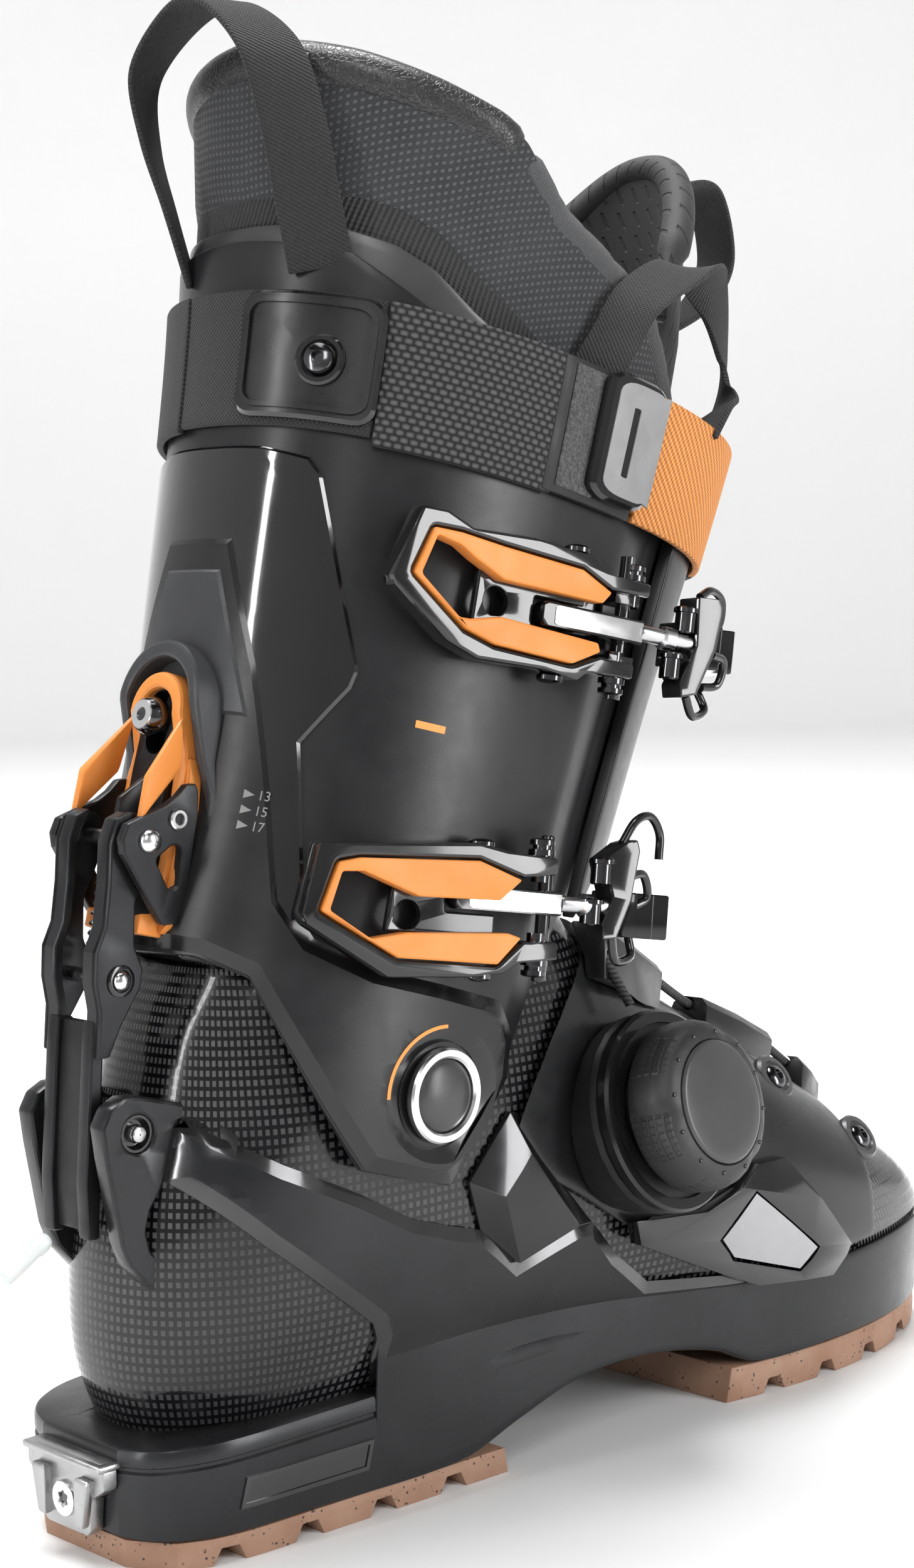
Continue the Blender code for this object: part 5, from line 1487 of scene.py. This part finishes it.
def make_buckle(label, spec):
    start, end = spec["span"]
    along = (end - start).normalized()
    out = along.cross(LEG_UP).normalized()
    rise = out.cross(along).normalized()
    start = start + along * 1.9 + out * 3.0
    lever, adjuster, bail = (f"{label}_buckle_{role}" for role in ("lever", "adjuster", "bail"))

    def at(a, b, h):
        return start + along * a + rise * b + out * h

    flat_part(f"{label}_lever_frame", spec["frame"], at, -3.2, 3.0, lever, M["black_gloss"], [lever],
              round_off=0.9)
    flat_part(f"{label}_lever_pads", spec["orange"], at, -1.6, 3.5, lever, M["orange"],
              [f"{label}_buckle_insert"], round_off=0.6)
    eye = arc(spec["eye"], 3.6, 0, 345, 24)
    flat_part(f"{label}_lever_tray", spec["tray"], at, -3.0, -0.6, lever, M["black_gloss"], (), [eye], 0.5)
    left, right, low, high = spec["block"]
    body = [(left, low + 1), (left + 1, low), (right, low), (right, high), (left + 1, high), (left, high - 1)]
    flat_part(f"{label}_adjuster_block", body, at, -2.6, 2.7, adjuster, M["black_gloss"], [adjuster],
              round_off=0.7)
    face = [(left + 3.6, low + 1), (left + 4.4, low + 0.6), (right - 0.6, low + 0.6),
            (right - 0.6, high - 0.7), (left + 4.4, high - 0.7), (left + 3.6, high - 1.2)]
    flat_part(f"{label}_adjuster_face", face, at, 2.5, 2.95, adjuster, M["bright"], (), round_off=0.12)
    for k, (a, b, way) in enumerate(spec["rivets"]):
        head = [(2.6, -1.0), (3.3, -0.4), (3.3, 0.7), (2.7, 1.2), (1.4, 1.5), (0.2, 1.6)]
        nodes = [f"{label}_buckle_rivet"] if k == 0 else ()
        piece(f"{label}_rivet_head_{k}", loft(turned(head, at(a, b, -1), rise * way, 32)), lever,
              M["chrome"], nodes)
    for k, (a, b, way) in enumerate(spec["pins"]):
        stem = [(2.3, -6.5), (2.3, 0.2), (3.4, 0.2), (3.4, 1.6), (2.4, 1.8), (2.4, 2.8), (3.2, 2.8),
                (3.2, 4.0), (2.4, 4.4), (0.2, 4.5)]
        piece(f"{label}_pin_end_{k}", loft(turned(stem, at(a, b, -1), rise * way, 32)), "cuff", M["chrome"])
    (a0, b0), (a1, b1) = spec["rod"]
    reach = a1 - a0
    rod = [(1.9, 0), (2.1, 0.6), (2.1, reach * 0.42), (3.0, reach * 0.46), (3.0, reach * 0.66),
           (2.2, reach * 0.7), (2.2, reach)]
    piece(f"{label}_adjuster_rod", loft(turned(rod, at(a0, b0, 1.6), at(a1, b1, 1.6) - at(a0, b0, 1.6), 32)),
          adjuster, M["steel"])
    flat_part(f"{label}_hook_plate", spec["hook"], at, -3.4, 4.6, adjuster, M["black_gloss"],
              [f"{label}_buckle_hook"], round_off=0.6)
    for k, (a, b) in enumerate(spec["posts"]):
        post = [(2.2, -3.2), (2.7, -2.8), (2.7, 2.0), (3.3, 2.2), (3.3, 3.2), (2.8, 3.6), (0.2, 3.7)]
        piece(f"{label}_hook_post_{k}", loft(turned(post, at(a, b, 2.2), rise, 24)), adjuster, M["chrome"])
    for k, wire in enumerate(spec["wires"]):
        path = smooth_path([at(a, b, h) for a, b, h in wire], 8)
        nodes = [bail] if k == 0 else ()
        piece(f"{label}_bail_wire_{k}", loft(tube(path, 1.15, 14)), bail, M["black_gloss"], nodes, sharp=50)
    for role in ("base", "rack"):
        rounded_node(f"{label}_buckle_{role}", M["black_gloss"], 0.5)


# ------------------------------------------------------------------ walk lock
def on_spine(a, s, back):
    """Outlines on the spine: a sideways, s up the leg, back behind the ankle pivot."""
    return leg(-back, a, s)


def on_rim(a, s, back):
    """The rim round the lock stands proud at the top and sinks towards its foot."""
    sink = 9.5 * min(1.0, max(0.0, (84 - s) / 24)) if back > 60 else 0.0
    return on_spine(a, s, back - sink)


def on_carrier(a, s, back):
    """The carrier is deep round the bolt and shallow below it, where the lever's arms swing."""
    sink = 3.6 * min(1.0, max(0.0, (77 - s) / 5)) if back > 66 else 0.0
    return on_spine(a, s, back - sink)


def make_walk_lock():
    rim = [(17.5, 22)] + [(17.5, s) for s in spread(28, 62, 7)] + [(15.5, 70)]
    rim += arc((0, 83), 15.5, 0, 180, 25)
    rim += [(-15.5, 70)] + [(-17.5, s) for s in spread(62, 28, 7)] + [(-17.5, 22)]
    rim += [(-13.9, 22)] + [(-13.9, s) for s in spread(28, 61, 7)] + [(-12.2, 70)]
    rim += arc((0, 82), 12.2, 180, 0, 21)
    rim += [(12.2, 70)] + [(13.9, s) for s in spread(61, 28, 7)] + [(13.9, 22)]
    flat_part("lock_rim", rim, on_rim, 50, 70.4, "cuff", M["spine"], ["spine_frame"], (), 1.0)
    for side in (-1, 1):
        strip = [(side * 11.7, 27), (side * 13.6, 29), (side * 13.6, 58), (side * 12.4, 66),
                 (side * 11.2, 70), (side * 10.2, 70), (side * 10.6, 60), (side * 10.6, 27)]
        flat_part(f"carrier_strip_{side}", strip, on_carrier, 61.6, 65.4, "lean_carrier", M["orange"],
                  round_off=0.5)
    arch = [(-10.6, 26), (-7.4, 26)] + [(-7.4, 60), (-6.6, 70)] + arc((0, 80), 6.4, 180, 0, 17)
    arch += [(6.6, 70), (7.4, 60), (7.4, 26), (10.6, 26), (11.4, 60), (10.4, 71)]
    arch += arc((0, 80.5), 10, 0, 180, 21)
    arch += [(-10.4, 71), (-11.4, 60)]
    flat_part("carrier_arch", arch, on_carrier, 61.6, 70.2, "lean_carrier", M["orange"], ["lean_carrier"],
              round_off=1.0)
    for side in (-1, 1):
        top = [leg(-68.6, side * y, s) for y, s in ((8.6, 80), (10.4, 80), (12.9, 68), (11.4, 65))]
        low = [leg(-79, side * y, s) for y, s in ((12.0, 63), (14.4, 64), (14.6, 52), (12.0, 52))]
        piece(f"carrier_wing_{side}", loft([top, low]), "lean_carrier", M["orange"], (), 0.8)
        foot = [leg(-64.4, side * y, s) for y, s in ((3, 30), (10.8, 32), (10.8, 26), (3, 26))]
        back = [leg(-71.5, side * y, s) for y, s in ((3, 29), (10.8, 31), (10.8, 26), (3, 26))]
        piece(f"carrier_foot_{side}", loft([foot, back]), "lean_carrier", M["orange"], (), 0.7)
    slot = arc((0, 83), 3.9, 0, 180, 10) + arc((0, 74), 3.9, 180, 360, 10)
    face = arc((0, 80), 6.1, 0, 180, 17) + [(-6.9, 66), (-6.9, 40), (6.9, 40), (6.9, 66)]
    flat_part("lock_face", face, on_spine, 61.6, 68.2, "lean_carrier", M["anthracite"], ["lock_bracket"],
              [slot], 0.4)
    pocket = arc((0, 83), 4.2, 0, 180, 10) + arc((0, 74), 4.2, 180, 360, 10)
    flat_part("lock_slot_floor", pocket, on_spine, 61.4, 62.4, "lean_carrier", M["panel"], (), (), 0.0)
    rib = [leg(-67.8, y, s) for y, s in ((-1.2, 66), (1.2, 66), (1.6, 48), (-1.6, 48))]
    rib_back = [leg(-76, y, s) for y, s in ((-0.8, 58), (0.8, 58), (1.2, 50), (-1.2, 50))]
    piece("lock_rib", loft([rib, rib_back]), "lean_carrier", M["anthracite"], (), 0.4)

    ear = [(7.6, 170.5), (7.2, 174), (9, 177.6), (13.5, 179), (20.7, 181.2), (24, 183), (27, 185.6),
           (29.6, 185.8), (30.4, 184), (30, 177), (24.5, 154.4), (22.5, 152.4), (18.5, 152.4), (17.3, 154)]
    window = [(17.3, 167.4), (17.2, 168.6), (22, 171.4), (24.2, 171.2), (24.8, 170.3), (23.3, 161.9),
              (22.6, 160.9), (20.9, 160.9), (20.1, 161.7)]
    outward = Vector((0, 1, 0))
    for side in (-1, 1):
        def at(x, z, y, side=side):
            return Vector((x, side * y, z))

        flat_part(f"lock_ear_{side}", ear, at, 12.2, 15.0, "lean_carrier", M["anthracite"], (), [window], 0.7)
        dome = [(3.0, 14.6), (3.0, 15.6), (2.5, 16.6), (1.4, 17.2), (0.2, 17.4)]
        piece(f"lever_pin_end_{side}", loft(turned(dome, (15, 0, 173), outward * side, 32)),
              "lean_carrier", M["bright"])
        ring = [(1.3, 14.8), (2.6, 14.8), (2.6, 15.8), (2.2, 16.1), (1.5, 16.1), (1.3, 15.6)]
        piece(f"set_screw_{side}", sleeve(turned(ring, (23.6, 0, 177.6), outward * side, 24)),
              "lean_carrier", M["bright"])
    pin = [(1.9, -14), (1.9, 14)]
    piece("lever_pin", loft(turned(pin, (15, 0, 173), outward, 24)), "lean_carrier", M["steel"])

    rearward = leg(-1, 0, 0) - leg(0, 0, 0)
    seat = leg(-64.2, 0, 79)
    head = [(2.4, 0), (2.4, 4.4), (4.7, 4.5), (5.0, 5.2), (4.9, 6.6), (4.5, 8.4), (3.9, 9.4)]
    piece("bolt_head", loft(turned(head, seat, rearward, 48)), BODY_OF["carrier_bolt"], M["chrome"],
          ["carrier_bolt"])
    rim = [(1.7, 9.2), (3.8, 9.2), (3.6, 9.7), (1.7, 9.7)]
    piece("bolt_face", sleeve(turned(rim, seat, rearward, 48)), BODY_OF["carrier_bolt"], M["bright"])


ARM = [(13, 180), (9, 178.6), (6.6, 173), (5.8, 163), (4.2, 153), (1.4, 147.4), (0.9, 140), (2.0, 133),
       (1.0, 122), (4.4, 122), (8, 129), (14, 137.4), (15, 142), (12.6, 148), (13.2, 158), (16.6, 164),
       (20, 171), (18, 178)]
FLANGE = [(13, 180), (9, 178.6), (6.6, 173), (5.8, 163), (4.2, 153), (1.4, 147.4), (0.9, 140), (2.0, 133),
          (1.0, 122), (3.2, 122), (4.4, 133), (3.4, 140), (4.0, 147), (6.8, 153), (8.4, 163), (9.4, 172),
          (11, 176), (14, 178)]
RAIL = [(1.4, 131), (0.2, 122), (-1.0, 108), (-2.2, 92), (-1.9, 78.6), (1.6, 78.2), (2.2, 92), (3.0, 108),
        (4.2, 122), (6.4, 130)]


def make_walk_lever():
    for side in (-1, 1):
        def at(x, z, y, side=side):
            return Vector((x, side * y, z))

        nodes = ["walk_lever"] if side == -1 else ()
        flat_part(f"lever_arm_{side}", ARM, at, 9.0, 11.4, "walk_lever", M["anthracite"], nodes, (), 0.6)
        flat_part(f"lever_flange_{side}", FLANGE, at, 5.6, 11.2, "walk_lever", M["anthracite"], (), (), 0.6)
        dome = [(2.4, 11.2), (2.4, 12.2), (1.9, 13.0), (1.0, 13.4), (0.2, 13.5)]
        piece(f"spring_pin_end_{side}", loft(turned(dome, (8.0, 0, 140.0), (0, side, 0), 32)),
              "walk_lever", M["bright"])
        seat = [(2.6, 11.0), (3.9, 11.0), (3.9, 11.9), (3.6, 12.1), (2.8, 12.1), (2.6, 11.8)]
        piece(f"spring_pin_seat_{side}", sleeve(turned(seat, (8.0, 0, 140.0), (0, side, 0), 32)),
              "walk_lever", M["black_gloss"])
        flat_part(f"lever_rail_{side}", RAIL, at, 5.0, 9.2, "walk_lever", M["anthracite"], (), (), 0.8)
    middle = [(3.0, 130), (1.8, 122), (0.6, 108), (-0.6, 92), (-0.4, 80), (1.5, 80), (2.0, 92), (2.8, 108),
              (4.0, 122), (5.4, 130)]
    flat_part("lever_web", middle, lambda x, z, y: Vector((x, y, z)), -5.4, 5.4, "walk_lever",
              M["black_matte"], round_off=0.5)
    pin = [(1.9, -9.5), (1.9, 9.5)]
    piece("spring_pin", loft(turned(pin, (8.0, 0, 140.0), (0, 1, 0), 24)), "walk_lever", M["steel"])


# ------------------------------------------------------------------ dial


def make_dial():
    rounded_node("dial_base", M["black_matte"], 0.4, 2, 25)
    rounded_node("dial_spool", M["black_matte"], 0.2, 1)
    rounded_node("dial_shaft", M["chrome"], 0.2, 1)
    knob = [(3.6, 10.2), (19.5, 10.2), (21.2, 11.2), (22.3, 12.6), (22.5, 15.0), (22.5, 19.0), (21.8, 21.4),
            (20.5, 23.6), (18.4, 24.8), (16.8, 25.2), (16.4, 24.9), (16.4, 23.4), (3.6, 23.4)]

    def lobes(a, k):
        dent = 0.9 * max(0.0, math.cos(3 * a)) ** 10 if 3 <= k <= 8 else 0.0
        return -dent

    rings = turned(knob, DIAL_BASE, DIAL_AXIS, 144, lobes)
    verts, faces = sleeve(rings)
    climbed = [0.0]
    for (r0, h0), (r1, h1) in zip(knob, knob[1:]):
        climbed.append(climbed[-1] + math.hypot(r1 - r0, h1 - h0))
    uvs = [(i * 2 * math.pi * 22 / 144, c) for c in climbed for i in range(144)]
    mesh = mesh_of("dial_grip", verts, faces, uvs)
    tidy_normals(mesh)
    finish_piece(add_object("dial_grip", mesh), "dial_knob", [M["knob"]], ["dial_knob"], 35)
    cap = [(16.2, 23.8), (16.2, 25.4), (15.7, 25.9), (15.0, 26.1), (12.0, 26.4), (6.0, 26.7), (0.4, 26.8)]
    piece("dial_disc", loft(turned(cap, DIAL_BASE, DIAL_AXIS, 72)), "dial_knob", M["cap"], ["dial_cap"])
    seat = [(23.5, 6.0), (27.0, 6.0), (27.0, 8.2), (26.2, 9.0), (23.5, 9.0)]
    piece("dial_seat_ring", sleeve(turned(seat, DIAL_BASE, DIAL_AXIS, 96)), "lower_shell", M["wing_edge"])
    first, second = across(DIAL_AXIS)
    for k in range(12):
        a = 2 * math.pi * (k + 0.5) / 12
        spot = DIAL_BASE + (first * math.cos(a) + second * math.sin(a)) * 18.6
        stud = [(0.55, 24.3), (0.55, 25.0), (0.1, 25.2)]
        piece(f"dial_mark_{k}", loft(turned(stud, spot, DIAL_AXIS, 12)), "dial_knob", M["flap"])


LACE_HALF = [(151, -45.5, 119), (148, -38, 133), (153, -32, 137), (168, -27, 129.5), (184, -23, 121),
             (206, -18, 109.5), (224, -16, 101.5), (243, -15, 92.5), (256, -14, 84.5), (265, -11, 79.5),
             (269, -5, 77.8)]


def make_lace():
    half = [Vector(p) for p in LACE_HALF]
    mirrored = [Vector((p.x, -p.y, p.z)) for p in half[::-1][:-2]]
    path = smooth_path(half + mirrored, 8)
    rings = tube(path, 1.3, 12)
    verts, faces = loft(rings)
    travelled = 0.0
    uvs = []
    for k, ring in enumerate(rings):
        if k:
            travelled += (path[k] - path[k - 1]).length
        uvs += [(i * 0.7, travelled) for i in range(len(ring))]
    mesh = mesh_of("instep_lace", verts, faces, uvs)
    tidy_normals(mesh)
    finish_piece(add_object("instep_lace", mesh), "lower_shell", [M["lace"]], ["lace"])


def make_guard_panel():
    """Bright panel in the window of the arm beside the dial."""
    window = [(190.6, 62), (178.4, 51), (183.6, 45), (210.4, 36.6), (216, 42)]
    plate("guard_panel", window, on_side(-1), 5.2, 6.6, "lower_shell", [M["silver"]], 0.0, 0.0, step=3.0)


def make_guide_screws():
    """Domed screws that hold the outer lace guides."""
    for k, (x, z) in enumerate(((251, 66), (219, 88))):
        spot = on_side(-1)(x, z, FLAP_OUT)
        out = Vector((0.15, -0.8, 0.58)).normalized()
        boss = [(7.2, -2.0), (7.2, 0.6), (6.4, 1.5), (5.0, 1.6), (4.6, 0.8), (0.3, 0.8)]
        piece(f"guide_boss_{k}", loft(turned(boss, spot, out, 40)), "lower_shell", M["cap"])
        head = [(3.6, 0.6), (3.6, 1.4), (2.8, 2.2), (1.5, 2.5), (1.3, 1.8), (0.2, 1.8)]
        piece(f"guide_screw_{k}", loft(turned(head, spot, out, 40)), "lower_shell", M["chrome"])


# ------------------------------------------------------------------ stage
def make_camera():
    camera = bpy.data.cameras.new("camera")
    camera.sensor_fit = 'VERTICAL'
    camera.sensor_height = 36.0
    camera.lens = CAMERA_LENS
    obj = bpy.data.objects.new("camera", camera)
    az, el, roll = (math.radians(a) for a in CAMERA_ANGLES)
    back = Vector((math.sin(az) * math.cos(el), -math.cos(az) * math.cos(el), math.sin(el)))
    right = (-back).cross(Vector((0, 0, 1))).normalized()
    up = right.cross(-back)
    turned_right = right * math.cos(roll) + up * math.sin(roll)
    turned_up = up * math.cos(roll) - right * math.sin(roll)
    matrix = Matrix((turned_right, turned_up, back)).transposed().to_4x4()
    matrix.translation = CAMERA_PLACE
    obj.matrix_world = matrix
    bpy.context.scene.collection.objects.link(obj)
    bpy.context.scene.camera = obj


def soft_light(name, place, target, size, power):
    light = bpy.data.lights.new(name, 'AREA')
    light.energy = power
    light.shape = 'RECTANGLE'
    light.size, light.size_y = size
    obj = bpy.data.objects.new(name, light)
    obj.location = place
    direction = Vector(target) - Vector(place)
    obj.rotation_euler = direction.to_track_quat('-Z', 'Y').to_euler()
    bpy.context.scene.collection.objects.link(obj)


def make_stage():
    floor = Paint("pale_floor", (0.86, 0.86, 0.86), 0.7)
    floor.colour(floor.colours(floor.noise(3.0, 2.0), (0.85, 0.85, 0.85), (0.88, 0.88, 0.88)))
    profile = [(0.02, 0.0), (1.2, 0.0), (2.4, 0.0)]
    for a in spread(0, math.pi / 2, 17):
        profile.append((3.2 + 0.9 * math.sin(a), 0.9 - 0.9 * math.cos(a)))
    profile.append((4.1, 4.5))
    rings = [[Vector((r * math.cos(a), r * math.sin(a), z)) for a in spread(0, 2 * math.pi * 95 / 96, 96)]
             for r, z in profile]
    verts, faces = loft(rings, closed_ends=False)
    faces.append(tuple(range(96)))
    mesh = bpy.data.meshes.new("floor")
    mesh.from_pydata(verts, [], faces)
    tidy_normals(mesh)
    obj = add_object("floor", mesh)
    obj.data.materials.append(floor.material)
    obj.data.shade_smooth()
    world = bpy.data.worlds.new("studio")
    world.use_nodes = True
    background = world.node_tree.nodes["Background"]
    background.inputs["Color"].default_value = (0.93, 0.94, 0.95, 1.0)
    background.inputs["Strength"].default_value = 0.06
    bpy.context.scene.world = world
    bpy.context.scene.view_settings.view_transform = 'Standard'
    centre = (0.06, 0.0, 0.17)
    soft_light("key", (-0.9, -0.9, 1.1), centre, (0.35, 0.7), 6)
    soft_light("left_strip", (-1.3, 0.15, 0.35), centre, (0.1, 1.3), 8)
    soft_light("right_box", (0.5, -1.25, 0.45), centre, (0.35, 1.0), 12)
    soft_light("top", (0.1, 0.1, 1.5), centre, (0.8, 0.8), 8)
    soft_light("backdrop", (0.2, 0.6, 1.9), (1.3, 1.4, 0.5), (1.6, 1.2), 80)
    soft_light("wall_left", (-0.8, 0.4, 2.6), (-3.5, 1.5, 0.8), (1.6, 1.6), 30)


make_camera()
make_stage()
make_lower_shell()
make_exo_frames()
make_heel_cheeks()
make_skirt()
make_instep_flap()
make_sole()
make_cuff()
make_cuff_plates()
make_prints()
make_pivots()
make_liner_foot()
make_liner_collar()
make_liner_trim()
make_liner_tongue()
make_loops()
make_power_strap()
make_hardware()
for buckle, parts in BUCKLES.items():
    make_buckle(buckle, parts)
make_walk_lock()
make_walk_lever()
make_dial()
make_lace()
make_guide_screws()
make_guard_panel()

bpy.context.view_layer.update()
